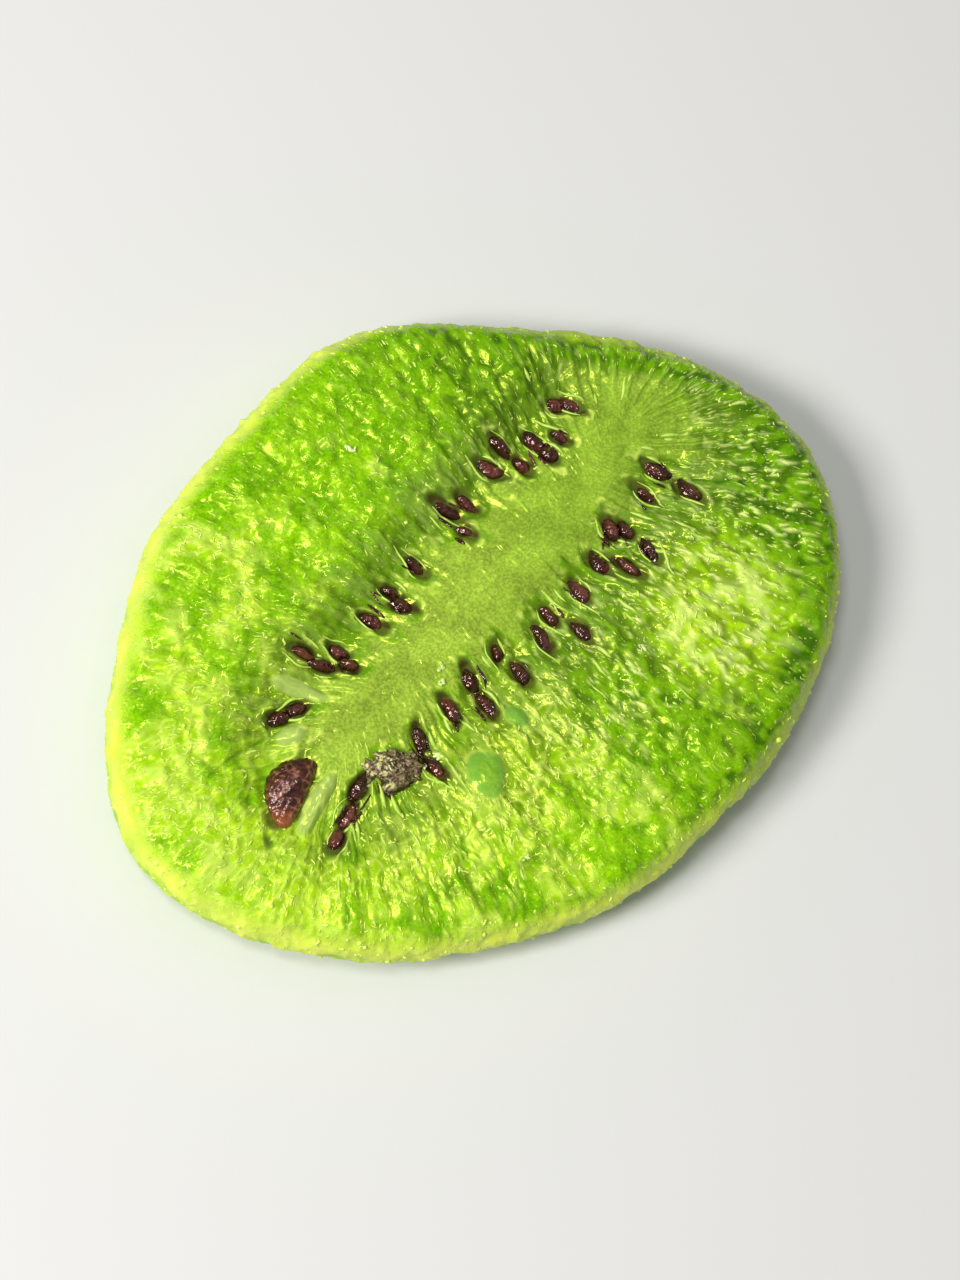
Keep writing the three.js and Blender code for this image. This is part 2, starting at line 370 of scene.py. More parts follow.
def flesh_relief(place, turn, distance, side, settings):
    """The face's fine relief in millimetres, and the masks that come with it, each from 0 to 1.

    crest and hollow are the wrinkles' tops, painted pale for sugar and for highlights, and their
    bottoms, painted dark as shade. wall and furrow are the same between the seeds, with painted
    shade in the furrows. frost is paler frosted patches with painted light added on the lit side,
    and milk is a painted sheen on the swells' tops. ridged is the more deeply wrinkled side of the
    slice, and wet is the wettest part of it, painted paler for its glints.
    """
    points = flat_points(place, FACE_SHIFT * side)
    core_distance = from_core(place)
    along, out = core_offsets(place)
    outer = smoothstep(core_distance, 3.0, 6.0)
    ring = near_ring(core_distance)
    by_core = smoothstep(core_distance, 1.6, 3.0) * (1 - smoothstep(core_distance, 6.5, 11))
    by_core = by_core * smoothstep(along, -22, -17)
    wet = smoothstep(1 - form_oval(WET_PATCH).reach(place), 0.0, 0.6)
    right_side = smoothstep(out + 0.25 * along, -3, 8) * (1 - smoothstep(core_distance, 12, 19))
    strong = np.maximum(outer * np.maximum(right_side, 0.45 * ring), wet)
    strength = 0.22 + 0.5 * strong

    # Noises that are long with the grain, and flecks that are short with it.
    wavy = turn + 0.02 * soft_noise(points, 1.6, 2)
    snaky = turn + 0.014 * soft_noise(points, 0.9, 14) + 0.014 * soft_noise(points, 1.9, 15)
    broad, rays, streaks = (
        soft_noise(grain_points(wavy, distance, around, length), 1, seed + side)
        for around, length, seed in ((2.2, 9, 1), (0.75, 7, 19), (0.6, 2.8, 17))
    )
    crests, fine_crests = (
        fleck_field(grain_points(snaky, distance, around, length) + shift + FLECK_SHIFT * side, coverage)
        for around, length, shift, coverage in ((0.55, 1.9, 0, 0.85), (0.4, 1.1, 31, 0.75))
    )
    # Noises that run no way in particular.
    swells, lumps, beads = (soft_noise(points, size, seed) for size, seed in ((2.6, 5), (1.1, 6), (0.75, 16)))
    worms = thin_ridges(soft_noise(points, 1.3, 7), 0.16)
    small_worms = thin_ridges(soft_noise(points, 0.8, 8), 0.2)

    wrinkles = 0.45 * outer * broad + strength * (0.75 * crests + 0.5 * fine_crests)
    relief = settings.streak_height / MM * wrinkles
    relief = relief + settings.bead_height / MM * (0.15 + 0.85 * outer) * beads
    relief = relief + (0.1 * outer + 0.12 * by_core) * streaks + 0.2 * by_core * rays
    relief = relief + settings.mottle_height / MM * (0.25 + 0.75 * outer) * (swells + 0.6 * lumps)
    relief = relief + settings.sugar_height / MM * (0.2 + 0.8 * outer) * (0.6 * worms + 0.4 * small_worms)

    # Frosted patches at random, with painted light over them: paler towards the lit lower left and in the wet
    # patch, less under the upper right end's painted shade.
    frost = soft_noise(points, 4.2, 9) + 0.7 * soft_noise(points, 1.5, 10)
    frost = frost + 0.6 * np.cos(np.angle(place) - LIT_SIDE_ANGLE)
    frost = smoothstep(frost + 0.6 * wet - 0.35 * clear_and_shaded_end(place), -0.05, 0.75)
    # The crests' and the worms' pale marks: sugar on them, and painted highlights for the glints along their
    # tops.
    dashes = np.maximum(crests, 0.8 * fine_crests) * np.maximum(np.clip(1.4 * strength, 0, 1), 0.45 * frost)
    marks = np.maximum(0.65 * np.maximum(worms, 0.8 * small_worms) * frost, dashes)
    # The relief's low places, which the hollow mask paints dark: painted shade in the dents.
    dents = -0.4 * broad - 0.9 * beads - 0.6 * (1 - 0.7 * frost) * streaks + 0.12 * strong
    # Painted sheen: pale on the swells' raised tops in the wet patch and over the frost.
    milk = smoothstep(0.6 * swells + 0.7 * lumps, 0.0, 0.35) * np.maximum(wet, 0.35 * frost)
    # The dips between the rays by the core and between the streaks on the ridged side: clear olive, with
    # painted shade in the dips.
    furrow = smoothstep(-rays, 0.05, 0.35) * by_core
    return relief, {
        "crest": marks * outer * (1 - 0.4 * ring),
        "hollow": smoothstep(dents, 0.02, 0.35) * outer * (1 - 0.35 * frost),
        "milk": milk * (1 - 0.8 * ring) * outer,
        "frost": frost * outer,
        "wall": smoothstep(rays, 0.02, 0.3) * by_core,
        "furrow": np.maximum(furrow, 0.8 * smoothstep(-streaks, 0.05, 0.3) * strong),
        "ridged": strong * smoothstep(along, -9, 2),
        "wet": wet,
    }


def max_over(grids):
    """The largest value at each place of several grids."""
    highest = 0
    for grid in grids:
        highest = np.maximum(highest, grid)
    return highest


def fleck_field(points, coverage):
    """1 at the middle of scattered flecks, one to a unit cell at most, falling to 0 at their edges."""
    flat = points.reshape(-1, 3)
    found = [noise.voronoi(Vector(point)) for point in flat]
    nearest = np.array([distances[0] for distances, _ in found])
    cells = np.array([tuple(spots[0]) for _, spots in found])
    chance = np.sin(cells @ (12.99, 78.23, 37.72)) * 43758.5 % 1
    reach = nearest / (0.25 + 0.35 * chance)
    kept = smoothstep(coverage - chance, 0.0, 0.1)
    return ((1 - smoothstep(reach, 0.2, 1.0)) * kept).reshape(points.shape[:-1])


def clear_and_shaded_end(place):
    """0 where the flesh is pale, rising to 1 at the slice's upper right end, which has a clearer green and
    painted shade laid over it.
    """
    return smoothstep((place * cmath.rect(1, -SHADED_END_ANGLE)).real, -3, 15)


def near_ring(core_distance):
    """1 where the seeds lie, falling to 0 at the core band and out in the flesh."""
    return smoothstep(core_distance, 2.2, 3.4) * (1 - smoothstep(core_distance, 6.0, 10))


def locules(place, pockets):
    """1 in the clear chambers that hold the seeds, with paler walls left between them."""
    nearest = np.zeros(place.shape)
    ragged = 1 + 0.4 * soft_noise(flat_points(place), 1.3, 23)
    for pocket in pockets:
        chamber = Oval(0, 0, pocket.half_length + 1.3, 1.0, 0)
        chamber.place = pocket.place + 0.5 * cmath.rect(1, pocket.outward_angle)
        chamber.angle = pocket.angle
        nearest = np.maximum(nearest, np.exp(-((chamber.reach(place) * ragged) ** 2)))
    return nearest


def core_mask(place, turn, distance, chambers):
    """1 on the pale core band and on the walls that run out from it between the seeds."""
    along, _ = core_offsets(place)
    rays = soft_noise(grain_points(turn, distance, 1.8, 9), 1, 21)
    ragged = soft_noise(flat_points(place), 0.6, 22)
    edge = 1.6 + 0.045 * along + 2.8 * (1 - smoothstep(chambers, 0.1, 0.6)) + 2.4 * rays + 0.5 * ragged
    return 1 - smoothstep(from_core(place) - edge, -1.1, 1.1)


# Masks that are 0 on the rounded side.
FACE_ONLY_MASKS = (
    *("core", "pocket", "lip", "seed_ring", "blister", "lobe", "vein", "stain", "outline"),
    *("wall", "furrow", "wet"),
)


class Flesh:
    """The flesh's points ring by ring, from the middle of the top to the middle of the underside."""

    def __init__(self, settings):
        self.settings = settings
        self.turn, self.start, self.outward, self.face_length = grain_lines()
        top_shares = np.linspace(0, 1, TOP_RINGS)[:, None]
        under_shares = np.linspace(1, 0, UNDER_RINGS)[:, None]
        tilts = np.linspace(np.pi / 2, -np.pi / 2, RIM_RINGS + 2)[1:-1, None]
        top, top_masks = self.top(top_shares)
        under, under_masks = self.underside(under_shares)
        rim, rim_masks = self.rim(tilts)
        self.points = np.concatenate([top, rim, under]).reshape(-1, 3)
        spans = np.concatenate(
            [top_shares * self.face_length, self.unrolled(tilts), under_shares * self.face_length]
        )
        girth = GRAIN_GIRTH * np.exp(1j * self.turn) + 0 * spans
        self.grain = flat_points(girth, spans).reshape(-1, 3)
        noise.seed_set(SWIRL_SEED)
        self.swirl = np.array([noise.noise_vector(Vector(point)) for point in self.points / 0.8])
        self.masks = {
            name: np.concatenate([top_masks[name], rim_masks[name], under_masks[name]]).ravel()
            for name in top_masks
        }

    def spots(self, shares):
        """The places at some shares of each grain line, with their turns and distances."""
        distance = shares * self.face_length
        return self.start + distance * self.outward, np.broadcast_to(self.turn, distance.shape), distance

    def unrolled(self, tilts):
        """How far points of the rounded side are from the core, measured over the surface."""
        return self.face_length + RIM_ARC * (np.pi / 2 - tilts)

    def top(self, shares):
        """The top face's points and masks, ring by ring from the core out."""
        place, turn, distance = self.spots(shares)
        relief, masks = flesh_relief(place, turn, distance, 0, self.settings)
        depth, inside, lip = pocket_shape(place, [*TOP_POCKETS, LUMP_POCKET])
        wander = 0.35 * np.sin(3 * turn + 1) + 0.5 * np.sin(7 * turn)
        pleat = np.sin(PLEAT_COUNT * turn + wander) * smoothstep(shares, 0.1, 0.5)
        fuzz = 0.05 * soft_noise(flat_points(place), 0.6, 11)
        dome_height, blister, blister_edge = mounds(place, BLISTERS)
        lobe_height, lobe, lobe_edge = mounds(place, LOBES)
        groove_depth, groove, _ = mound(place, GROOVE)
        rough = (1 - 0.9 * inside) * (1 - 0.75 * blister) * (1 - 0.7 * lobe)
        smooth = top_height(place) + self.settings.pleat_height / MM * pleat
        self.top_edge = smooth[-1]
        height = smooth + (relief + fuzz) * rough - depth + 0.1 * lip
        height = height + lobe_height + dome_height + groove_depth
        # The lobes' and blisters' outlines, painted pale through the vein mask: a painted highlight along the
        # domes' rims.
        masks |= {"lobe": lobe, "outline": 0.8 * np.maximum(lobe_edge, blister_edge)}
        masks = {name: values * (1 - 0.75 * blister) for name, values in masks.items()}
        # The blister's bluish green, weaker on its raised top and stronger towards its edge: painted shade
        # round the dome.
        masks["blister"] = blister * (1 - 1.1 * dome_height)
        # The groove is painted dark with the hollows: painted shade in the dent.
        masks["hollow"] = np.maximum(masks["hollow"], groove)
        masks |= self.face_masks(place, turn, distance, inside, lip, masks, TOP_POCKETS)
        return flat_points(place, height), masks

    def underside(self, shares):
        """The underside's points and masks, flat where it lies on the floor."""
        place, turn, distance = self.spots(shares)
        relief, masks = flesh_relief(place, turn, distance, 1, self.settings)
        depth, inside, lip = pocket_shape(place, UNDER_POCKETS)
        lift = underside_height(place) + depth
        self.under_edge = underside_height(place)[0]
        height = lift + np.maximum(0, 0.5 * relief) * smoothstep(lift, 0.0, 0.3)
        masks |= {name: np.zeros(place.shape) for name in ("blister", "lobe", "outline")}
        masks |= self.face_masks(place, turn, distance, inside, lip, masks, UNDER_POCKETS)
        return flat_points(place, height), masks

    def face_masks(self, place, turn, distance, inside, lip, masks, pockets):
        """A cut face's masks: the relief's own outside the pockets, and those of the core and the seeds."""
        along, out = core_offsets(place)
        ring = near_ring(from_core(place))
        chambers = locules(place, pockets)
        core = core_mask(place, turn, distance, chambers) * (1 - inside)
        walls = np.exp(-(((core - 0.35) / 0.2) ** 2)) * ring
        near_seed = max_over(np.exp(-0.9 * pocket.reach(place) ** 2) for pocket in pockets)
        blotches = 0.3 + 0.7 * smoothstep(soft_noise(flat_points(place), 0.8, 24), -0.1, 0.25)
        broken = smoothstep(soft_noise(flat_points(place), 0.8, 25), 0.0, 0.35)
        deeper = smoothstep(out, 3, 6) * (1 - smoothstep(out, 9, 14.5))
        deeper = deeper * smoothstep(along, -15, -9) * (1 - smoothstep(along, 4, 10))
        streaked = smoothstep(soft_noise(grain_points(turn, distance, 1.1, 9), 1, 28), -0.15, 0.2)
        green = np.maximum(0.7 * ring * smoothstep(along, -22, -17), deeper * (0.25 + 0.35 * streaked))
        return {name: values * (1 - inside) for name, values in masks.items()} | {
            # The upper right end's clearer green and painted shade, less in the wet patch.
            "clear": clear_and_shaded_end(place) * (1 - 0.9 * masks["wet"]),
            # Dark brown in blotches round the seeds: partly brown stain, partly painted shade beside and
            # between them.
            "stain": smoothstep(near_seed, 0.16, 0.5) * blotches,
            "core": core,
            # The seeds' hollows, painted dark olive: painted shade in them.
            "pocket": inside,
            "lip": lip,
            "vein": np.maximum(0.7 * walls * broken, masks["outline"] * (0.35 + 0.65 * broken)),
            "seed_ring": np.maximum(chambers, green) * (1 - core),
            "side": np.zeros(place.shape),
            "shoulder": np.zeros(place.shape),
        }

    def rim(self, tilts):
        """The rounded side, where the face's relief goes on and fades towards the floor."""
        bow = np.cos(tilts)
        place = self.start + (self.face_length + RIM_DEPTH * bow**RIM_FULLNESS) * self.outward
        middle, half = (self.top_edge + self.under_edge) / 2, (self.top_edge - self.under_edge) / 2
        points = flat_points(place, middle + half * np.sin(tilts))
        swells = soft_noise(points, 1.9, 31)
        lumps = soft_noise(points, 0.8, 32)
        beads = smoothstep(soft_noise(points, 0.5, 33), 0.05, 0.45)
        bulge = (0.2 * swells + 0.09 * lumps + 0.07 * beads) * bow**0.5
        distance = self.unrolled(tilts)
        turn = np.broadcast_to(self.turn, distance.shape)
        relief, masks = flesh_relief(self.start + distance * self.outward, turn, distance, 0, self.settings)
        side = smoothstep(bow, 0.4, 0.95) + np.zeros(place.shape)
        bulge = bulge + relief * smoothstep(np.sin(tilts), -0.9, 0.1) * (1 - 0.6 * side)
        shift = bulge * bow * self.outward
        points = points + flat_points(shift, bulge * np.sin(tilts))
        points[..., 2] = np.maximum(points[..., 2], 0.0)
        masks = {name: values * (1 - side) for name, values in masks.items()}
        # Pale on the side's raised beads: sugar grains, and painted highlights on their tops.
        masks["crest"] = np.maximum(masks["crest"], 0.5 * beads * side)
        masks["frost"] = np.maximum(masks["frost"], (0.35 + 0.5 * smoothstep(swells, -0.2, 0.3)) * side)
        masks |= {name: np.zeros(place.shape) for name in FACE_ONLY_MASKS}
        # The pale band on the upper part of the side: the dried side's paler colour, and painted light as on
        # a rim facing the light; the colour layer weakens it at the shaded upper right end.
        upper = smoothstep(np.sin(tilts) + 0.35 * swells, -0.45, 0.35)
        patches = 0.72 + 0.28 * smoothstep(soft_noise(points, 2.3, 34), -0.2, 0.2)
        shoulder = side * upper * patches
        # The side gets the upper right end's painted shade too.
        return points, masks | {"side": side, "shoulder": shoulder, "clear": clear_and_shaded_end(place)}

    def faces(self):
        """The faces between the rings, and a strip across the core on each side."""
        rings = len(self.points) // COLUMNS
        here = np.arange((rings - 1) * COLUMNS).reshape(rings - 1, COLUMNS)
        beside = np.roll(here, -1, axis=1)
        bands = np.stack([here, here + COLUMNS, beside + COLUMNS, beside], axis=-1).reshape(-1, 4)
        last = (rings - 1) * COLUMNS
        under = [tuple(reversed(face)) for face in middle_strip(last)]
        return [*middle_strip(0), *bands.tolist(), *under]


def middle_strip(first):
    """Closes a face's innermost ring with a strip across the core's axis."""
    faces = []
    for column in range(COLUMNS // 2):
        near, near_next = first + column, first + column + 1
        far, far_next = first + (COLUMNS - column) % COLUMNS, first + COLUMNS - column - 1
        corners = [near, near_next, far_next, far]
        faces.append(tuple(dict.fromkeys(corners)))
    return [face for face in faces if len(face) > 2]


# ---- Making Blender objects ----


def make_piece(name, points, faces, material, masks=None):
    """A smooth mesh from points in millimetres, with its masks as attributes for the material."""
    mesh = bpy.data.meshes.new(name)
    shifted = (np.asarray(points) + (SHIFT.real, SHIFT.imag, 0)) * MM
    mesh.from_pydata(shifted.tolist(), [], faces)
    for mask, values in (masks or {}).items():
        values = np.asarray(values, np.float32)
        kind, field = ("FLOAT_VECTOR", "vector") if values.ndim == 2 else ("FLOAT", "value")
        mesh.attributes.new(mask, kind, "POINT").data.foreach_set(field, values.ravel())
    mesh.shade_smooth()
    mesh.materials.append(material)
    piece = bpy.data.objects.new(name, mesh)
    bpy.context.scene.collection.objects.link(piece)
    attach(piece, "root")
    return piece


def flesh_piece():
    piece = bpy.data.objects.get("kiwi_flesh")
    if piece is None:
        raise RuntimeError("the flesh is made first, because everything else lies on it")
    return piece


class Surface:
    """Finds the flesh's surface from above or below, in millimetres."""

    def __init__(self):
        self.tree = BVHTree.FromObject(flesh_piece(), bpy.context.evaluated_depsgraph_get())

    def at(self, place, from_above=True):
        """The surface's height at a place."""
        spot = (place + SHIFT) * MM
        direction = -1 if from_above else 1
        origin = Vector((spot.real, spot.imag, -direction * 0.05))
        hit, _, _, _ = self.tree.ray_cast(origin, Vector((0, 0, direction)))
        if hit is None:
            raise RuntimeError(f"nothing of the flesh lies at {place}")
        return hit.z / MM


# ---- Materials: node helpers ----


def opaque(colour):
    return (*colour, 1.0)


class Wiring:
    """A material's or a group's nodes being wired, with short ways to add the usual ones."""

    def __init__(self, tree):
        self.tree = tree

    def node(self, kind, **settings):
        made = self.tree.nodes.new(kind)
        for name, value in settings.items():
            setattr(made, name, value)
        return made

    def feed(self, socket, value):
        if isinstance(value, bpy.types.NodeSocket):
            self.tree.links.new(value, socket)
        elif value is not None:
            socket.default_value = opaque(value) if socket.type == "RGBA" else value

    def math(self, operation, first, second=None, clamp=False):
        made = self.node("ShaderNodeMath", operation=operation, use_clamp=clamp)
        self.feed(made.inputs[0], first)
        self.feed(made.inputs[1], second)
        return made.outputs[0]

    def times(self, first, *others):
        for other in others:
            first = self.math("MULTIPLY", first, other)
        return first

    def most(self, first, *others):
        for other in others:
            first = self.math("MAXIMUM", first, other)
        return first

    def mix(self, factor, first, second):
        made = self.node("ShaderNodeMix", data_type="RGBA")
        self.feed(made.inputs[0], factor)
        self.feed(made.inputs[6], first)
        self.feed(made.inputs[7], second)
        return made.outputs[2]

    def spread(self, value, low, high, out_low=0.0, out_high=1.0):
        """Maps low to high onto out_low to out_high, smoothly and without passing them."""
        made = self.node("ShaderNodeMapRange", interpolation_type="SMOOTHSTEP")
        for name, number in (("Value", value), ("From Min", low), ("From Max", high)):
            self.feed(made.inputs[name], number)
        self.feed(made.inputs["To Min"], out_low)
        self.feed(made.inputs["To Max"], out_high)
        return made.outputs[0]

    def mask(self, name):
        return self.node("ShaderNodeAttribute", attribute_name=name).outputs["Fac"]

    def place(self, name):
        """Coordinates that the mesh holds under a name."""
        return self.node("ShaderNodeAttribute", attribute_name=name).outputs["Vector"]

    def stretched(self, vector, factors):
        """A vector times a factor along each axis."""
        made = self.node("ShaderNodeVectorMath", operation="MULTIPLY")
        self.feed(made.inputs[0], vector)
        made.inputs[1].default_value = factors
        return made.outputs[0]

    def millimetres(self):
        """The surface's own coordinates, in millimetres."""
        made = self.node("ShaderNodeVectorMath", operation="SCALE")
        self.feed(made.inputs[0], self.node("ShaderNodeTexCoord").outputs["Object"])
        made.inputs["Scale"].default_value = 1 / MM
        return made.outputs[0]

    def noise(self, vector, size, detail=2.0, distortion=0.0):
        made = self.node("ShaderNodeTexNoise")
        self.feed(made.inputs["Vector"], vector)
        self.feed(made.inputs["Scale"], size if isinstance(size, bpy.types.NodeSocket) else 1 / size)
        made.inputs["Detail"].default_value = detail
        made.inputs["Distortion"].default_value = distortion
        return made.outputs["Fac"]

    def group(self, tree, **values):
        made = self.node("ShaderNodeGroup", node_tree=tree)
        for name, value in values.items():
            self.feed(made.inputs[name.replace("_", " ").capitalize()], value)
        return made.outputs

    def drift(self, vector, scale, dark, light, specks):
        """A colour that drifts between dark and light, and its tone."""
        return self.group(tone_drift(), vector=vector, scale=scale, dark=dark, light=light, specks=specks)

    def bump(self, height, depth, strength=1.0):
        """A normal from a height that runs from 0 to 1, depth millimetres apart."""
        made = self.node("ShaderNodeBump")
        self.feed(made.inputs["Height"], height)
        made.inputs["Strength"].default_value = strength
        made.inputs["Distance"].default_value = depth * MM
        return made.outputs[0]


def new_group(name, inputs, outputs):
    """An empty node group with named sockets, and the wiring to fill it."""
    tree = bpy.data.node_groups.new(name, "ShaderNodeTree")
    for socket, kind, value in inputs:
        made = tree.interface.new_socket(socket, in_out="INPUT", socket_type=kind)
        if value is not None:
            made.default_value = value
    for socket, kind in outputs:
        tree.interface.new_socket(socket, in_out="OUTPUT", socket_type=kind)
    wiring = Wiring(tree)
    return wiring, wiring.node("NodeGroupInput").outputs, wiring.node("NodeGroupOutput").inputs


def sugar_flecks():
    """Short raised flecks of crystallised sugar, one to a cell at most: a mask, and their height."""
    if "Sugar flecks" in bpy.data.node_groups:
        return bpy.data.node_groups["Sugar flecks"]
    wiring, given, result = new_group(
        "Sugar flecks",
        [
            ("Vector", "NodeSocketVector", None),
            ("Width", "NodeSocketFloat", 0.4),
            ("Coverage", "NodeSocketFloat", 0.5),
        ],
        [("Mask", "NodeSocketFloat"), ("Height", "NodeSocketFloat")],
    )
    cells = wiring.node("ShaderNodeTexVoronoi")
    wiring.feed(cells.inputs["Vector"], given["Vector"])
    cells.inputs["Scale"].default_value = 1.0
    chance = wiring.node("ShaderNodeSeparateColor")
    wiring.feed(chance.inputs[0], cells.outputs["Color"])
    kept = wiring.math("SUBTRACT", given["Coverage"], chance.outputs["Red"])
    kept = wiring.math("ADD", kept, 0.15, clamp=True)
    radius = wiring.times(given["Width"], wiring.math("POWER", kept, 0.4))
    near = wiring.math("DIVIDE", cells.outputs["Distance"], wiring.math("ADD", radius, 0.001))
    height = wiring.spread(near, 0.25, 1.0, 1.0, 0.0)
    shade = wiring.math("ADD", wiring.times(chance.outputs["Green"], 0.5), 0.5)
    wiring.feed(result["Mask"], wiring.times(wiring.spread(near, 0.6, 0.88, 1.0, 0.0), shade))
    wiring.feed(result["Height"], wiring.times(height, shade))
    return wiring.tree


def tone_drift():
    """A colour that drifts between a darker and a lighter one, in soft patches and fine specks."""
    if "Tone drift" in bpy.data.node_groups:
        return bpy.data.node_groups["Tone drift"]
    wiring, given, result = new_group(
        "Tone drift",
        [
            ("Vector", "NodeSocketVector", None),
            ("Scale", "NodeSocketFloat", 0.4),
            ("Dark", "NodeSocketColor", None),
            ("Light", "NodeSocketColor", None),
            ("Specks", "NodeSocketFloat", 0.4),
        ],
        [("Color", "NodeSocketColor"), ("Tone", "NodeSocketFloat")],
    )
    patches = wiring.spread(wiring.noise(given["Vector"], given["Scale"], 1.5, 0.3), 0.34, 0.66)
    fine = wiring.times(given["Scale"], 11.0)
    specks = wiring.spread(wiring.noise(given["Vector"], fine, 1.0), 0.32, 0.68)
    blend = wiring.node("ShaderNodeMix", data_type="FLOAT")
    for socket, value in zip((0, 2, 3), (given["Specks"], patches, specks)):
        wiring.feed(blend.inputs[socket], value)
    tone = blend.outputs[0]
    wiring.feed(result["Tone"], tone)
    wiring.feed(result["Color"], wiring.mix(tone, given["Dark"], given["Light"]))
    return wiring.tree


SEED_GLINT = (1.0, 0.75, 0.7, 1.0)
SUGAR_GLINT = (0.95, 1.0, 0.5, 1.0)


def new_material(name):
    """A material with its wiring and its principled shader's inputs."""
    material = bpy.data.materials.new(name)
    material.use_nodes = True
    shader = material.node_tree.nodes["Principled BSDF"]
    return material, Wiring(material.node_tree), shader.inputs


def flesh_colour(wiring, base, settings):
    """The flesh's colour without its sugar: layers over the drifting green, each under its mask. Some of the
    layers are painted light and painted shade.
    """
    # The upper right end's clearer green and painted shade; it also lets the painted shade through the core
    # and the pale side.
    clear = wiring.mask("clear")
    # How strongly the hollows are painted dark: more at the shaded upper right end and on the ridged side.
    depth = wiring.most(clear, wiring.times(wiring.mask("ridged"), 0.6))
    core_tones = wiring.mix(
        base["Tone"],
        [0.6 * part for part in settings.core_colour],
        [1.27 * part for part in settings.core_colour],
    )
    layers = (
        # Frosted patches, with painted light on the lit side.
        ("frost", 0.5, settings.pale_colour),
        # Painted shade, with a clearer green, at the upper right end.
        ("clear", 0.6, settings.clear_shade_colour),
        # Painted shade in the relief's hollows and in the groove.
        ("hollow", wiring.spread(depth, 0.0, 1.0, 0.24, 0.9), settings.hollow_shade_colour),
        # The wet patch painted paler: painted glints.
        ("wet", 0.45, settings.pale_colour),
        # Painted sheen on the swells' tops.
        ("milk", 0.5, settings.wet_fleck_glint_colour),
        ("seed_ring", 0.85, settings.ring_olive_and_shade_colour),
        ("wall", 0.55, settings.wall_colour),
        # The clear olive, with painted shade, in the furrows.
        ("furrow", 0.7, settings.ring_olive_and_shade_colour),
        # The core is painted over less at the upper right end, so the painted shade there shows through.
        ("core", wiring.spread(clear, 0.0, 1.0, 0.95, 0.72), core_tones),
        # The pale side, partly painted light, weaker at the shaded upper right end.
        ("shoulder", wiring.spread(clear, 0.0, 1.0, 0.95, 0.45), settings.side_and_light_colour),
        ("lobe", 0.85, settings.lobe_colour),
        ("blister", 0.6, settings.blister_colour),
        # Painted shade in the seeds' hollows.
        ("pocket", 0.85, settings.pocket_shade_colour),
        # Brown stain and painted shade round the seeds.
        ("stain", 0.9, settings.stain_and_shade_colour),
    )
    colour = base["Color"]
    for mask, strength, layer in layers:
        colour = wiring.mix(wiring.times(wiring.mask(mask), strength), colour, layer)
    return colour


def flesh_material(settings):
    material, wiring, shader = new_material("Dried kiwi flesh")
    vector = wiring.millimetres()
    base = wiring.drift(vector, 0.45, settings.deep_colour, settings.flesh_colour, 0.55)
    core, side, ridged = (wiring.mask(name) for name in ("core", "side", "ridged"))
    plain = wiring.most(core, wiring.mask("pocket"), wiring.times(side, 0.3))
    rough = wiring.spread(wiring.most(plain, wiring.mask("blister"), wiring.mask("lobe")), 0.0, 0.6, 1.0, 0.0)
    sugared = wiring.spread(wiring.most(wiring.mask("frost"), ridged), 0.0, 0.8, 0.6, 1.0)
    # Flecks along the grain, curled ones and round ones: where from, stretch, width and coverage.
    strokes, curls, dots = (
        wiring.group(sugar_flecks(), vector=wiring.stretched(place, factors), width=width, coverage=coverage)
        for place, factors, width, coverage in (
            (wiring.place("grain"), (3.2, 3.2, 1.2), 0.36, 0.85),
            (wiring.place("curl"), (2.8, 2.8, 1.5), 0.31, 0.75),
            (vector, (2.1, 2.1, 2.1), 0.24, 0.55),
        )
    )
    threads = wiring.most(strokes["Mask"], wiring.times(curls["Mask"], 0.9), dots["Mask"])
    # The pale marks: sugar on the crests and flecks with painted highlights for their glints, and the pale
    # lips and veins.
    pale = wiring.most(
        wiring.times(wiring.mask("crest"), wiring.spread(core, 0.0, 1.0, 1.0, 0.3), sugared),
        wiring.times(threads, rough, sugared),
        wiring.times(dots["Mask"], core, 0.6),
        wiring.times(wiring.mask("lip"), 0.6),
        wiring.times(wiring.mask("vein"), 0.8),
    )
    pale = wiring.times(pale, wiring.spread(wiring.mask("seed_ring"), 0.0, 1.0, 1.0, 0.6))
    # On the ridged side the pale marks turn whiter: painted glints.
    sugar = wiring.mix(ridged, settings.sugar_and_glint_colour, settings.wet_fleck_glint_colour)
    wiring.feed(shader["Base Color"], wiring.mix(pale, flesh_colour(wiring, base, settings), sugar))
    gloss = wiring.spread(base["Tone"], 0.0, 1.0, 0.14, 0.28)
    wiring.feed(shader["Roughness"], wiring.math("ADD", gloss, wiring.times(side, 0.3)))
    ridges = wiring.times(wiring.most(strokes["Height"], curls["Height"]), rough)
    wiring.feed(shader["Normal"], wiring.bump(ridges, depth=0.09))
    shader["Subsurface Weight"].default_value = 0.35
    shader["Subsurface Radius"].default_value = (0.8, 1.0, 0.12)
    shader["Subsurface Scale"].default_value = 0.6 * MM
    shader["Specular IOR Level"].default_value = 0.75
    shader["Specular Tint"].default_value = (0.95, 1.0, 0.15, 1.0)
    return material


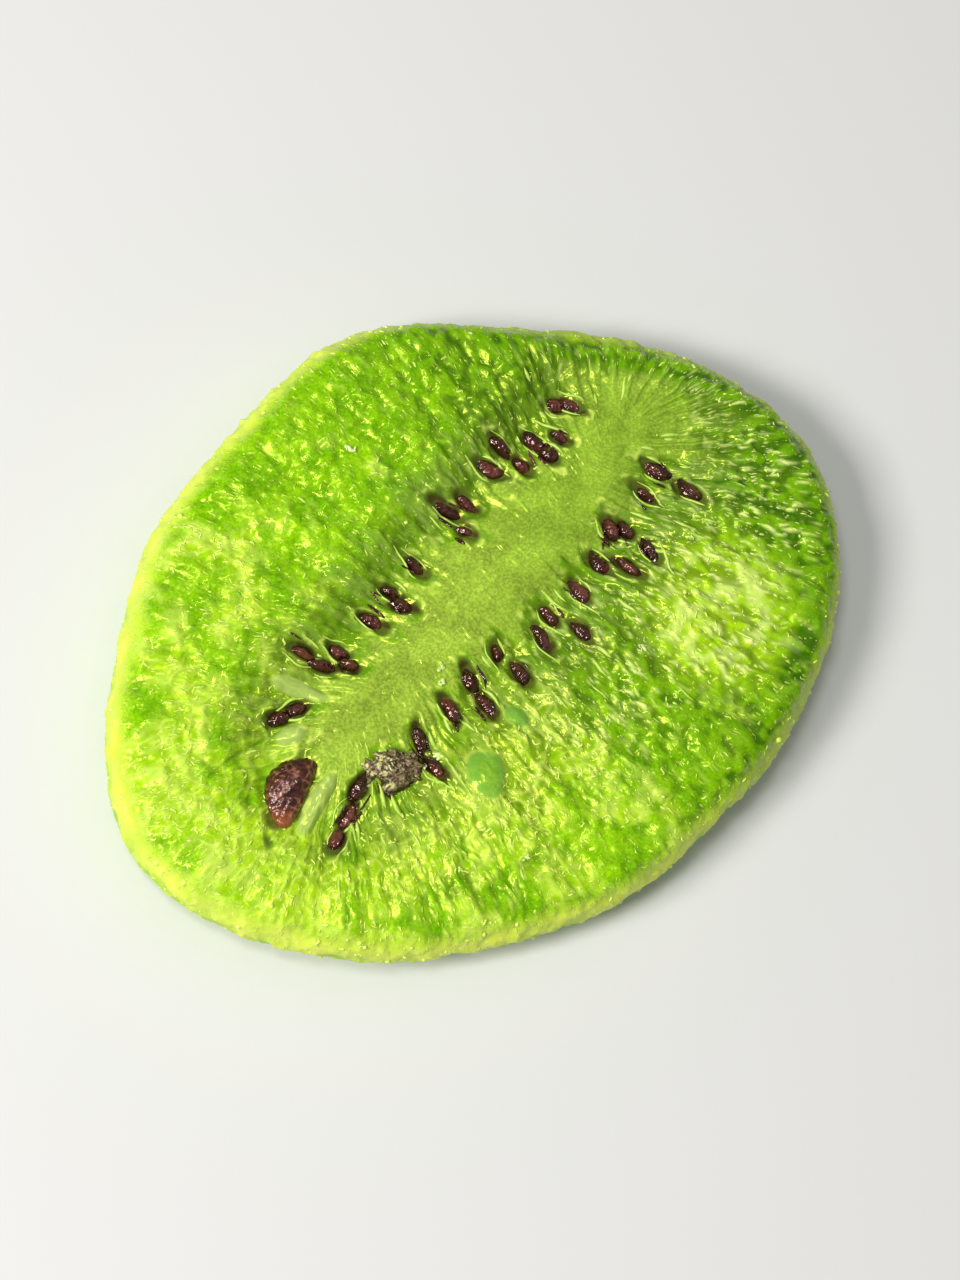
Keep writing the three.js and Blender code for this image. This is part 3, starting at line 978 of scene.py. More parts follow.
def seed_material(settings):
    material, wiring, shader = new_material("Kiwi seed")
    vector = wiring.millimetres()
    skin = wiring.drift(vector, 0.55, settings.dark_colour, settings.red_colour, 0.35)
    brown = wiring.times(wiring.mask("redness"), wiring.times(skin["Tone"], 0.8))
    colour = wiring.mix(brown, skin["Color"], settings.brown_colour)
    # The seeds' edges seen from above, painted darker: painted shade on their sides.
    colour = wiring.mix(wiring.times(wiring.mask("edge"), 0.85), colour, settings.dark_colour)
    wiring.feed(shader["Base Color"], colour)
    wiring.feed(shader["Roughness"], wiring.spread(skin["Tone"], 0.0, 1.0, 0.08, 0.2))
    wiring.feed(shader["Normal"], wiring.bump(wiring.noise(vector, 0.28, 0.0), depth=0.2))
    shader["Specular IOR Level"].default_value = 1.0
    shader["Specular Tint"].default_value = SEED_GLINT
    return material


def lump_material(settings):
    material, wiring, shader = new_material("Brown seed lump")
    vector = wiring.millimetres()
    skin = wiring.drift(vector, 0.8, settings.dark_colour, settings.red_colour, 0.5)
    colour = wiring.mix(wiring.times(wiring.mask("tip"), 0.8), skin["Color"], settings.lump_tip_colour)
    shreds = wiring.spread(wiring.noise(vector, 0.7, 2.0), 0.42, 0.6)
    net = wiring.times(wiring.mask("net"), wiring.times(shreds, 0.8))
    wiring.feed(shader["Base Color"], wiring.mix(net, colour, settings.net_colour))
    wiring.feed(shader["Roughness"], wiring.spread(skin["Tone"], 0.0, 1.0, 0.18, 0.36))
    wiring.feed(shader["Normal"], wiring.bump(wiring.noise(vector, 0.3, 0.5), depth=0.12))
    shader["Subsurface Weight"].default_value = 0.1
    shader["Subsurface Radius"].default_value = (1.0, 0.35, 0.1)
    shader["Subsurface Scale"].default_value = 0.4 * MM
    shader["Specular IOR Level"].default_value = 1.0
    shader["Specular Tint"].default_value = SEED_GLINT
    return material


def pulp_material(settings):
    material, wiring, shader = new_material("Dried pulp")
    vector = wiring.millimetres()
    skin = wiring.drift(vector, 0.9, settings.damp_colour, settings.beige_colour, 0.4)
    flakes = wiring.spread(wiring.noise(vector, 0.7, 0.5, 1.5), 0.44, 0.54)
    flakes = wiring.times(flakes, wiring.spread(wiring.mask("dry"), 0.0, 1.0, 0.2, 1.0))
    colour = wiring.mix(flakes, skin["Color"], settings.cream_colour)
    folds = wiring.spread(wiring.noise(vector, 0.75, 0.5, 2.5), 0.4, 0.46, 1.0, 0.0)
    # Dark brown in the gaps, and in folds at random: painted shade, with the dark seen through the net.
    shade = wiring.most(wiring.mask("gap"), wiring.times(folds, 0.8))
    wiring.feed(shader["Base Color"], wiring.mix(shade, colour, settings.gap_and_shade_colour))
    wiring.feed(shader["Roughness"], wiring.spread(skin["Tone"], 0.0, 1.0, 0.15, 0.35))
    wiring.feed(shader["Normal"], wiring.bump(wiring.noise(vector, 0.5, 0.0, 1.5), depth=0.35))
    return material


def sugar_material(settings):
    material, wiring, shader = new_material("Crystallised sugar")
    vector = wiring.millimetres()
    tone = wiring.drift(vector, 0.5, settings.green_colour, settings.pale_colour, 0.6)
    wiring.feed(shader["Base Color"], tone["Color"])
    wiring.feed(shader["Roughness"], wiring.spread(tone["Tone"], 0.0, 1.0, 0.25, 0.5))
    wiring.feed(shader["Normal"], wiring.bump(wiring.noise(vector, 0.15, 2.0), depth=0.04, strength=0.5))
    shader["Specular Tint"].default_value = SUGAR_GLINT
    return material


def fibre_material(settings, name="Pale seed membrane"):
    material, wiring, shader = new_material(name)
    tone = wiring.drift(wiring.millimetres(), 0.7, settings.green_colour, settings.pale_colour, 0.4)
    wiring.feed(shader["Base Color"], tone["Color"])
    wiring.feed(shader["Roughness"], wiring.spread(tone["Tone"], 0.0, 1.0, 0.25, 0.45))
    shader["Specular Tint"].default_value = SUGAR_GLINT
    return material


# ---- Sizes and colours that a user would change ----


def length_property(name, description, default):
    return FloatProperty(
        name=name, description=description, default=default, min=0, unit="LENGTH", precision=5
    )


def count_property(name, description, default):
    return IntProperty(name=name, description=description, default=default, min=1)


def power_property(name, description, default):
    return FloatProperty(name=name, description=description, default=default, unit="POWER")


def colour_property(name, description, default):
    return FloatVectorProperty(
        name=name, description=description, default=default, subtype="COLOR", size=3, min=0, max=1
    )


class KiwiFleshSettings(bpy.types.PropertyGroup):
    pleat_height: length_property("Pleat height", "Soft folds from the core to the rim", 0.00012)
    streak_height: length_property("Streak height", "Fine wrinkles along the flesh's grain", 0.00028)
    mottle_height: length_property("Mottle height", "Uneven swelling of the dried flesh", 0.00014)
    bead_height: length_property("Bead height", "Small soft beads that the wet surface stands in", 0.00018)
    sugar_height: length_property("Sugar height", "Ridges of crystallised sugar", 0.00009)
    flesh_colour: colour_property("Flesh", "Bright lime green of the outer flesh", (0.34, 0.69, 0.002))
    deep_colour: colour_property("Deep flesh", "Deeper green where the flesh is clear", (0.14, 0.42, 0.001))
    # Painted shade, with a clearer green, at the slice's upper right end.
    clear_shade_colour: colour_property("Clear flesh", "Deep green at the slice's clearer end", (0.11, 0.3, 0.001))
    # Painted shade in the hollows between the wrinkles.
    hollow_shade_colour: colour_property("Hollows", "Dark clear green between the wrinkles", (0.035, 0.15, 0.001))
    # Also painted light: it pales the lit lower left side and the wet patch.
    pale_colour: colour_property("Pale flesh", "Yellowish green of frosty patches", (0.6, 0.88, 0.015))
    # Sugar, and painted highlights on the crests and flecks.
    sugar_and_glint_colour: colour_property("Sugar", "Crests with crystallised sugar", (0.82, 0.98, 0.17))
    # The side's paler colour, and painted light on its upper part.
    side_and_light_colour: colour_property("Side", "Pale smooth side of the slice", (0.84, 0.96, 0.1))
    wall_colour: colour_property("Wall", "Paler walls between the seeds", (0.24, 0.38, 0.055))
    # Painted glints on the wet flecks and the swells' tops.
    wet_fleck_glint_colour: colour_property("Wet flecks", "Pale flecks on the ridged side", (0.84, 0.98, 0.3))
    core_colour: colour_property("Core", "Pale olive green of the core band", (0.34, 0.51, 0.05))
    # Also painted shade in the furrows.
    ring_olive_and_shade_colour: colour_property("Seed ring", "Clear olive green between the seeds", (0.1, 0.21, 0.006))
    # Painted shade in the seeds' hollows.
    pocket_shade_colour: colour_property("Seed pockets", "Dark olive under the seeds", (0.11, 0.15, 0.02))
    # Partly stain, partly painted shade round the seeds.
    stain_and_shade_colour: colour_property("Stains", "Brown that the seeds left in the flesh", (0.035, 0.018, 0.006))
    lobe_colour: colour_property("Lobes", "Pale swollen lobes near the core's end", (0.42, 0.57, 0.14))
    blister_colour: colour_property("Blister", "Bluish green of the clear blisters", (0.2, 0.5, 0.1))


class KiwiSeedSettings(bpy.types.PropertyGroup):
    width: length_property("Seed width", "Across an average seed", 0.00108)
    height: length_property("Seed height", "Through an average seed", 0.00105)
    dark_colour: colour_property("Dark skin", "Nearly black parts of the seeds' skin", (0.014, 0.002, 0.001))
    red_colour: colour_property("Maroon skin", "Reddish brown parts of the seeds' skin", (0.08, 0.012, 0.006))
    brown_colour: colour_property("Brown skin", "Lightest parts of the browner seeds", (0.2, 0.05, 0.035))
    lump_tip_colour: colour_property("Lump's tip", "Orange-brown tip of the seed lump", (0.33, 0.09, 0.025))
    net_colour: colour_property("Lump's net", "Pale cracks over the seed lump", (0.5, 0.22, 0.13))


class KiwiPulpSettings(bpy.types.PropertyGroup):
    beige_colour: colour_property("Dry pulp", "Greyish beige skin of the dried pulp", (0.27, 0.18, 0.1))
    cream_colour: colour_property("Cream flakes", "Pale dry flakes on the pulp", (0.7, 0.64, 0.28))
    # Painted shade in the pulp's gaps, with the dark seen through its net.
    gap_and_shade_colour: colour_property("Gaps", "Dark brown seen through the pulp's net", (0.03, 0.012, 0.005))
    pale_colour: colour_property("Pale crumb", "Dry side of a crumb", (0.88, 0.95, 0.5))
    damp_colour: colour_property("Damp pulp", "Browner parts of the pulp", (0.16, 0.12, 0.05))
    green_colour: colour_property("Damp crumb", "Greener parts of the crumbs", (0.6, 0.8, 0.2))


class KiwiSugarSettings(bpy.types.PropertyGroup):
    crystals: count_property("Crystals", "Curved crystals on the top face", 900)
    grains: count_property("Grains", "Sugar grains, most of them on the side", 700)
    pale_colour: colour_property("Pale sugar", "Dry crystals", (0.82, 0.96, 0.25))
    green_colour: colour_property("Green sugar", "Crystals soaked with juice", (0.66, 0.9, 0.08))


class KiwiFibreSettings(bpy.types.PropertyGroup):
    fibres: count_property("Fibres", "Fibres along the flesh's grain", 60)
    pale_colour: colour_property("Pale membrane", "Dry membrane beside the seeds", (0.66, 0.86, 0.18))
    green_colour: colour_property("Green membrane", "Membrane with flesh on it", (0.4, 0.66, 0.05))


class KiwiStageSettings(bpy.types.PropertyGroup):
    floor_colour: colour_property("Floor", "Plain pale floor", (0.74, 0.74, 0.73))
    lens: FloatProperty(name="Lens", description="The camera's focal length", default=100, unit="CAMERA")
    view_width: length_property("View width", "How wide a strip of the floor the picture shows", 0.068)
    key_power: power_property("Key light", "Power of the main soft light", 1.75)
    glint_power: power_property("Glint light", "Power of the small overhead light", 0.5)
    fill_power: power_property("Fill light", "Power of the wide overhead light", 0.25)


# ---- Operators ----


class KIWI_OT_flesh(bpy.types.Operator):
    """Build the flesh: both cut faces, the seed hollows and the rounded side"""

    bl_idname = "kiwi.flesh"
    bl_label = "Flesh"

    def execute(self, context):
        settings = context.scene.kiwi_flesh
        flesh = Flesh(settings)
        masks = dict(flesh.masks)
        for name, swirled in (("grain", 0.17), ("curl", 0.45)):
            masks[name] = flesh.grain + swirled * flesh.swirl
        piece = make_piece("kiwi_flesh", flesh.points, flesh.faces(), flesh_material(settings), masks)
        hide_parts("kiwi_slice")
        return {"FINISHED"}


def seed_form(length, width, height, rings, sides, point):
    """A drop's points and faces round the origin, more pointed at -x where point nears 1."""
    share = (1 - np.cos(np.pi * np.arange(1, rings) / rings)) / 2
    radius = share ** (0.5 + 0.4 * point) * (1 - share) ** 0.5
    radius /= radius.max()
    around = np.arange(sides) / sides * 2 * np.pi
    x = np.repeat((share - 0.5) * length, sides)
    y = np.outer(radius, np.cos(around)).ravel() * width / 2
    z = np.outer(radius, np.sin(around)).ravel() * height / 2
    points = np.vstack([np.column_stack([x, y, z]), (-length / 2, 0, 0), (length / 2, 0, 0)])
    here = np.arange((rings - 2) * sides).reshape(rings - 2, sides)
    beside = np.roll(here, -1, axis=1)
    faces = np.stack([here, beside, beside + sides, here + sides], axis=-1).reshape(-1, 4).tolist()
    first, last, start, end = 0, (rings - 2) * sides, len(points) - 2, len(points) - 1
    for side in range(sides):
        following = (side + 1) % sides
        faces.append([first + following, first + side, start])
        faces.append([last + side, last + following, end])
    return points, faces


def seen_from_above(points, length, width):
    """How far out a drop's points are seen from above, from 0 in its middle to 1 at its edge."""
    return np.hypot(points[:, 0] / length, points[:, 1] / width) * 2


def placed(points, place, height, angle, tilt=0.0, roll=0.0):
    """Points turned about the upright by angle, tipped a little, and moved to a place."""
    turn = Matrix.Rotation(angle, 3, "Z") @ Matrix.Rotation(tilt, 3, "Y") @ Matrix.Rotation(roll, 3, "X")
    return points @ np.array(turn).T + (place.real, place.imag, height)


def joined(parts):
    """Several (points, faces) as one."""
    all_points, all_faces, count = [], [], 0
    for points, faces in parts:
        all_points.append(points)
        all_faces += [[corner + count for corner in face] for face in faces]
        count += len(points)
    return np.vstack(all_points), all_faces


def seeds_on(surface, pockets, from_above, settings, rng):
    """Seeds lying in their pockets on one face, each a little bent, dented and tipped in its own way."""
    parts, edges, reds = [], [], []
    for pocket in pockets:
        height = settings.height / MM * rng.uniform(0.85, 1.1)
        width = settings.width / MM * rng.uniform(0.62, 1.15)
        point = rng.uniform(0.2, 0.9)
        points, faces = seed_form(pocket.length, width, height, rings=22, sides=24, point=point)
        # Where a seed's side turns down, seen from above: the material paints it darker as shade.
        edges.append(smoothstep(seen_from_above(points, pocket.length, width), 0.45, 0.9))
        reds.append(np.full(len(points), rng.uniform(0, 1)))
        dents = 0.2 * soft_noise(points + 9 * pocket.place.real, 0.8, 41)
        dents += 0.08 * soft_noise(points * (0.5, 1, 1) + 9 * pocket.place.imag, 0.35, 42)
        points = points * (1 + dents)[:, None]
        points[:, 1] += rng.normal(0, 0.12) * (points[:, 0] ** 2 - 0.3)
        level = surface.at(pocket.place, from_above)
        if from_above:
            middle = level + rng.uniform(-0.08, 0.28)
        else:
            middle = max(level + 0.1, 0.68 * height)
        spin = pocket.outward_angle + rng.normal(0, 0.08)
        tilt, roll = rng.normal(-0.06, 0.14), rng.normal(0, 0.3)
        spots = placed(points, pocket.place, middle, spin, tilt, roll)
        spots[:, 2] += max(0, -spots[:, 2].min())
        parts.append((spots, faces))
    return *joined(parts), {"edge": np.concatenate(edges), "redness": np.concatenate(reds)}


def seed_skins(surface, rng):
    """Thin dark slivers of torn skin beside the seeds on the top face."""
    parts, edges, reds = [], [], []
    for pocket in TOP_POCKETS:
        for _ in range(rng.integers(0, 3)):
            length = pocket.length * rng.uniform(0.5, 1.1)
            points, faces = seed_form(length, rng.uniform(0.12, 0.3), 0.2, rings=14, sides=10, point=0.9)
            points[:, 1] += rng.normal(0, 0.16) * (points[:, 0] ** 2 - 0.3)
            aside = rng.choice((-1, 1)) * rng.uniform(0.45, 0.95)
            offset = complex(rng.uniform(-0.5, 1.2), aside)
            spot = pocket.place + cmath.rect(1, pocket.outward_angle) * offset
            level = surface.at(spot)
            angle = pocket.outward_angle + rng.normal(0, 0.25)
            parts.append((placed(points, spot, level + 0.03, angle), faces))
            edges.append(np.full(len(points), rng.uniform(0, 1)))
            reds.append(np.full(len(points), rng.uniform(0, 1)))
    return *joined(parts), {"edge": np.concatenate(edges), "redness": np.concatenate(reds)}


class KIWI_OT_seeds(bpy.types.Operator):
    """Lay the seeds in their hollows on both cut faces"""

    bl_idname = "kiwi.seeds"
    bl_label = "Seeds"

    def execute(self, context):
        settings = context.scene.kiwi_seeds
        rng = np.random.default_rng(5)
        surface = Surface()
        material = seed_material(settings)
        cut_faces = (("seeds_top", TOP_POCKETS, True), ("seeds_underside", UNDER_POCKETS, False))
        for name, pockets, from_above in cut_faces:
            points, faces, masks = seeds_on(surface, pockets, from_above, settings, rng)
            make_piece(name, points, faces, material, masks)
        points, faces, masks = seed_skins(surface, np.random.default_rng(17))
        make_piece("seed_skins", points, faces, material, masks)
        return {"FINISHED"}


class KIWI_OT_lump(bpy.types.Operator):
    """Lay the big brown lump of seeds that dried together at the core's end"""

    bl_idname = "kiwi.lump"
    bl_label = "Seed lump"

    def execute(self, context):
        surface = Surface()
        points, faces = seed_form(LUMP_LENGTH, LUMP_WIDTH, LUMP_HEIGHT, rings=80, sides=90, point=0.35)
        share = points[:, 0] / LUMP_LENGTH + 0.5
        points[:, 1] += 0.8 * np.sin(np.pi * share) - 0.45
        cells = np.array([noise.voronoi(Vector(point) / 0.7)[0][:2] for point in points])
        gap = cells[:, 1] - cells[:, 0]
        crack = np.clip(1 - gap / 0.12, 0, 1)
        bumps = 0.045 * smoothstep(gap, 0.0, 0.45) + 0.12 * soft_noise(points, 1.6, 45)
        bumps = bumps * smoothstep(share, 0.0, 0.2)
        points *= (0.94 + bumps + 0.03 * soft_noise(points, 0.3, 46))[:, None]
        masks = {"tip": 1 - smoothstep(share + 0.12 * soft_noise(points, 0.8, 47), 0.0, 0.35), "net": crack}
        level = surface.at(LUMP_POCKET.place)
        spots = placed(points, LUMP_POCKET.place, level + 0.5, LUMP_POCKET.angle)
        material = lump_material(context.scene.kiwi_seeds)
        make_piece("seed_lump", spots, faces, material, masks)
        return {"FINISHED"}


class KIWI_OT_pulp(bpy.types.Operator):
    """Lay the crumpled net of dried pulp over the seeds at the core's end, and the crumbs"""

    bl_idname = "kiwi.pulp"
    bl_label = "Dried pulp and crumbs"

    def execute(self, context):
        settings = context.scene.kiwi_pulp
        surface = Surface()
        self.patch(surface, pulp_material(settings))
        self.crumbs(surface, settings, np.random.default_rng(31))
        return {"FINISHED"}

    def patch(self, surface, material):
        length, width = PULP.length, PULP.width
        oval = form_oval(PULP)
        points, faces = seed_form(length, width, PULP.height, rings=90, sides=110, point=0.1)
        folds = soft_noise(points * (0.6, 1, 1), 0.75, 49)
        hollow = smoothstep(-folds, 0.05, 0.3)
        uneven = 0.3 * soft_noise(points, 1.3, 48) + 0.1 * thin_ridges(folds, 0.3)
        dry = smoothstep(points[:, 0] / length + 0.3 * soft_noise(points, 1.0, 51), -0.15, 0.2)
        shut = smoothstep(soft_noise(points, 1.2, 50), -0.1, 0.2)
        rim = smoothstep(seen_from_above(points, length, width), 0.68, 0.92)
        points *= (1 + uneven)[:, None]
        points[:, 2] -= 0.35 * hollow * smoothstep(points[:, 2], -0.1, 0.2)
        level = surface.at(oval.place)
        spots = placed(points, oval.place, level + 0.25, oval.angle)
        # gap: the dents and the rim of the pulp, painted dark brown: painted shade, with the dark seen
        # through its net.
        masks = {"gap": np.maximum(hollow * (1 - shut), rim * smoothstep(folds, -0.2, 0.1)), "dry": dry}
        make_piece("dried_pulp", spots, faces, material, masks)

    def crumbs(self, surface, settings, rng):
        parts = []
        for along, out, size in CRUMBS:
            place = beside_core(along, out)
            level = surface.at(place)
            for share in rng.uniform(0.3, 0.75, 6):
                length = share * size
                points, faces = seed_form(length, 0.45 * length, 0.3 * length, rings=14, sides=16, point=0.1)
                points *= (1 + 0.9 * soft_noise(points + along, 0.4 * size, 52))[:, None]
                spot = place + cmath.rect(rng.uniform(0, 0.45) * size, rng.uniform(0, 2 * np.pi))
                angle, tilt = rng.uniform(0, 6), rng.normal(0, 0.4)
                parts.append((placed(points, spot, level + 0.1 * size, angle, tilt), faces))
        make_piece("crumbs", *joined(parts), fibre_material(settings, "Pale crumb"))


def strands(paths, radii, sides=5):
    """Tubes along paths, an array of strands by points by 3, with a radius at each point."""
    paths, radii = np.asarray(paths, float), np.asarray(radii, float)
    count, length = radii.shape
    tangent = np.gradient(paths, axis=1)
    tangent /= np.linalg.norm(tangent, axis=-1, keepdims=True) + 1e-9
    side = np.cross(tangent, (0.03, 0.02, 1.0))
    side /= np.linalg.norm(side, axis=-1, keepdims=True) + 1e-9
    over = np.cross(side, tangent)
    around = np.arange(sides) / sides * 2 * np.pi
    ring = side[:, :, None] * np.cos(around)[:, None] + over[:, :, None] * np.sin(around)[:, None]
    points = (paths[:, :, None] + radii[:, :, None, None] * ring).reshape(-1, 3)
    here = np.arange(count * length * sides).reshape(count, length, sides)
    near, far = here[:, :-1], here[:, 1:]
    walls = np.stack([near, np.roll(near, -1, axis=2), np.roll(far, -1, axis=2), far], axis=-1)
    ends = np.concatenate([here[:, 0, ::-1], here[:, -1]])
    return points, [*walls.reshape(-1, 4).tolist(), *ends.tolist()]


def tapered(length, thick, fullness=0.6):
    """Radii that swell from both ends to the middle."""
    share = np.linspace(0.02, 0.98, length)
    return thick[:, None] * (np.sin(np.pi * share) ** fullness)[None]


class Spots:
    """Points spread evenly over the flesh, to put sugar on."""

    def __init__(self, rng):
        mesh = flesh_piece().data
        count = len(mesh.vertices)
        points, normals = np.zeros(count * 3), np.zeros(count * 3)
        mesh.vertices.foreach_get("co", points)
        mesh.vertices.foreach_get("normal", normals)
        self.points = points.reshape(-1, 3) / MM - (SHIFT.real, SHIFT.imag, 0)
        self.normals = normals.reshape(-1, 3)
        grid = self.points.reshape(-1, COLUMNS, 3)
        self.across = (np.roll(grid, -1, axis=1) - grid).reshape(-1, 3)
        self.down = np.gradient(grid, axis=0).reshape(-1, 3)
        self.area = np.linalg.norm(np.cross(self.across, self.down), axis=1)
        self.rng = rng

    def read(self, mask):
        values = np.zeros(len(self.points), np.float32)
        flesh_piece().data.attributes[mask].data.foreach_get("value", values)
        return values

    def pick(self, count, weight):
        """Random places on the flesh, more where the weight is higher, with normals and columns."""
        chance = self.area * weight
        chosen = self.rng.choice(len(self.points), count, p=chance / chance.sum())
        shift = self.rng.uniform(-0.5, 0.5, (2, count, 1))
        places = self.points[chosen] + shift[0] * self.across[chosen] + shift[1] * self.down[chosen]
        return places, self.normals[chosen], chosen % COLUMNS


def turned_about(normals, headings, angles):
    """Headings laid on the surface and turned by angles about its normals, as unit vectors."""
    flat = headings - normals * np.sum(headings * normals, axis=1, keepdims=True)
    flat /= np.linalg.norm(flat, axis=1, keepdims=True)
    sideways = np.cross(normals, flat)
    return flat * np.cos(angles)[:, None] + sideways * np.sin(angles)[:, None]


def crystal_threads(spots, count, weight, lengths, thickness, rng):
    """Short curved crystals lying on the flesh, more of them along its grain than across it."""
    centre, normal, column = spots.pick(count, weight)
    outward = grain_lines()[2][column]
    grain = flat_points(outward)
    heading = turned_about(normal, grain, rng.normal(0, 0.75, count))
    sideways = np.cross(normal, heading)
    length = rng.uniform(*lengths, count)
    bend = rng.normal(0, 0.4, count) * length
    wave = rng.normal(0, 0.13, count) * length
    share = np.linspace(-0.5, 0.5, 7)[None, :, None]
    curve = bend[:, None, None] * (share**2 - 0.1) + wave[:, None, None] * np.sin(2 * np.pi * share)
    thick = rng.uniform(*thickness, count)
    sunk = (-0.1 * thick)[:, None, None] * normal[:, None]
    ahead = length[:, None, None] * share * heading[:, None]
    paths = centre[:, None] + ahead + curve * sideways[:, None] + sunk
    return strands(paths, tapered(7, thick), 4)


GOLDEN = (1 + 5**0.5) / 2
# A sugar grain's corners and faces before it is made uneven: an icosahedron.
GRAIN_CORNERS = np.array(
    [(x, y * GOLDEN, 0) for y in (1, -1) for x in (-1, 1)]
    + [(0, y, z * GOLDEN) for z in (1, -1) for y in (-1, 1)]
    + [(x * GOLDEN, 0, z) for x in (1, -1) for z in (-1, 1)]
)
GRAIN_FACES = np.array(
    [(0, 11, 5), (0, 5, 1), (0, 1, 7), (0, 7, 10), (0, 10, 11), (1, 5, 9), (5, 11, 4)]
    + [(11, 10, 2), (10, 7, 6), (7, 1, 8), (3, 9, 4), (3, 4, 2), (3, 2, 6), (3, 6, 8)]
    + [(3, 8, 9), (4, 9, 5), (2, 4, 11), (6, 2, 10), (8, 6, 7), (9, 8, 1)]
)


def sugar_grains(spots, count, weight, sizes, rng):
    """Tiny lumpy sugar grains half sunk in the flesh."""
    centre, normal, _ = spots.pick(count, weight)
    corners = GRAIN_CORNERS / np.linalg.norm(GRAIN_CORNERS[0])
    size = rng.uniform(0, 1, count) ** 4 * (sizes[1] - sizes[0]) + sizes[0]
    stretch = rng.uniform(0.65, 1.2, (count, 1, 3)) * size[:, None, None] / 2
    rough = rng.uniform(0.8, 1.2, (count, 12, 1))
    middle = centre - normal * (0.05 * size)[:, None]
    points = middle[:, None] + corners[None] * stretch * rough
    faces = GRAIN_FACES[None] + len(corners) * np.arange(count)[:, None, None]
    return points.reshape(-1, 3), faces.reshape(-1, 3).tolist()


class KIWI_OT_sugar(bpy.types.Operator):
    """Scatter the curved sugar crystals and the sugar grains over the flesh"""

    bl_idname = "kiwi.sugar"
    bl_label = "Sugar"

    def execute(self, context):
        settings = context.scene.kiwi_sugar
        rng = np.random.default_rng(11)
        spots = Spots(rng)
        material = sugar_material(settings)
        core, pocket, side = (spots.read(mask) for mask in ("core", "pocket", "side"))
        facing = spots.normals[:, 2]
        crest, frost = spots.read("crest"), spots.read("frost")
        face = smoothstep(facing, 0.5, 0.75) * (1 - pocket) * (1 - 0.7 * core)
        face = face * (1 - spots.read("blister")) * (1 - spots.read("lobe"))
        weight = face * (0.15 + frost) * (0.2 + crest)
        crystals = crystal_threads(spots, settings.crystals, weight, (0.25, 0.6), (0.05, 0.1), rng)
        make_piece("sugar_crystals", *crystals, material)
        rim = side * smoothstep(spots.points[:, 2], 0.4, 1.5)
        grains = sugar_grains(spots, settings.grains, 0.3 * weight + rim, (0.12, 0.5), rng)
        make_piece("sugar_grains", *grains, material)
        return {"FINISHED"}


def laid_on(surface, places, lift):
    """Points for a line of places seen from above, lying on the top face."""
    return [(place.real, place.imag, surface.at(place) + lift) for place in places]


def swaying(reach, line, size, seed):
    """Soft noise along a line, different for each line's number."""
    return soft_noise(np.column_stack([reach, line + 0 * reach, 0 * reach]), size, seed)


def pocket_membranes(surface, rng):
    """Thin pale membranes that pass beside each seed and run out into the flesh."""
    paths, thickness = [], []
    share = np.linspace(0, 1, 18)
    for pocket in TOP_POCKETS:
        outward = cmath.rect(1, pocket.outward_angle)
        for side in rng.permutation((-1, 1))[: rng.integers(0, 3)]:
            begin = -pocket.half_length * rng.uniform(0.2, 1.0)
            reach = begin + rng.uniform(1.0, 2.8) * share
            bow = np.exp(-((reach / (1.1 * pocket.half_length)) ** 2))
            sway = 0.1 * swaying(reach, 3.1 * len(paths), 1.1, 62)
            across = side * (rng.uniform(0, 0.35) + rng.uniform(0.35, 0.7) * bow) + sway
            places = pocket.place + outward * (reach + 1j * across)
            paths.append(laid_on(surface, places, 0.04))
            thickness.append(rng.uniform(0.06, 0.13))
    return strands(paths, tapered(18, np.array(thickness), 0.6))


def grain_fibres(surface, count, rng):
    """Thin pale fibres along the flesh's grain, most of them to the right of the core."""
    turn, start, outward, face_length = grain_lines()
    paths, thickness = [], []
    steps = np.linspace(0, 1, 16)
    while len(paths) < count:
        column = rng.integers(COLUMNS)
        right_side = 0.5 - 0.5 * math.sin(turn[column])
        if rng.uniform() > 0.12 + 0.88 * right_side:
            continue
        begin = rng.uniform(3.0, 16) if rng.uniform() < 0.7 else rng.uniform(2.2, 5)
        length = min(rng.uniform(0.6, 2.0), face_length[column] - begin)
        if length < 0.5:
            continue
        reach = begin + length * steps
        sway = 0.2 * swaying(reach, 7.7 * column, 1.3, 61)
        places = start[column] + outward[column] * (reach + 1j * sway)
        if mounds(places, BLISTERS + LOBES)[1].max() > 0:
            continue
        paths.append(laid_on(surface, places, -0.02))
        thickness.append(rng.uniform(0.09, 0.17))
    return strands(paths, tapered(16, np.array(thickness), 0.8))


class KIWI_OT_fibres(bpy.types.Operator):
    """Draw the pale membranes round the seeds and the fibres that run out through the flesh"""

    bl_idname = "kiwi.fibres"
    bl_label = "Membranes and fibres"

    def execute(self, context):
        settings = context.scene.kiwi_fibres
        rng = np.random.default_rng(23)
        surface = Surface()
        material = fibre_material(settings)
        make_piece("seed_membranes", *pocket_membranes(surface, rng), material)
        make_piece("flesh_fibres", *grain_fibres(surface, settings.fibres, rng), material)
        return {"FINISHED"}


# The square soft lights, aimed at the slice: where they hang and their widths in metres, and colours.
LIGHTS = {
    "key": ((-0.3, -0.1, 0.34), 0.14, (1, 0.985, 0.95)),
    "glint": ((-0.12, 0.0, 0.43), 0.08, (1, 1, 1)),
    "fill": ((0.12, 0.14, 0.45), 0.5, (1, 1, 1)),
}
AMBIENT_STRENGTH = 0.2
FLOOR_REACH, FLOOR_LEVEL = 1, -0.00005
CAMERA_AZIMUTH, CAMERA_ELEVATION = math.radians(-40), math.radians(73)
CAMERA_TARGET = (0, 0, 0.0035)
PICTURE_ASPECT = 4 / 3


def area_light(name, place, size, power, colour):
    light = bpy.data.lights.new(name, "AREA")
    light.size, light.energy, light.color = size, power, colour
    lamp = bpy.data.objects.new(name, light)
    lamp.location = place
    lamp.rotation_euler = (Vector() - Vector(place)).to_track_quat("-Z", "Y").to_euler()
    bpy.context.scene.collection.objects.link(lamp)


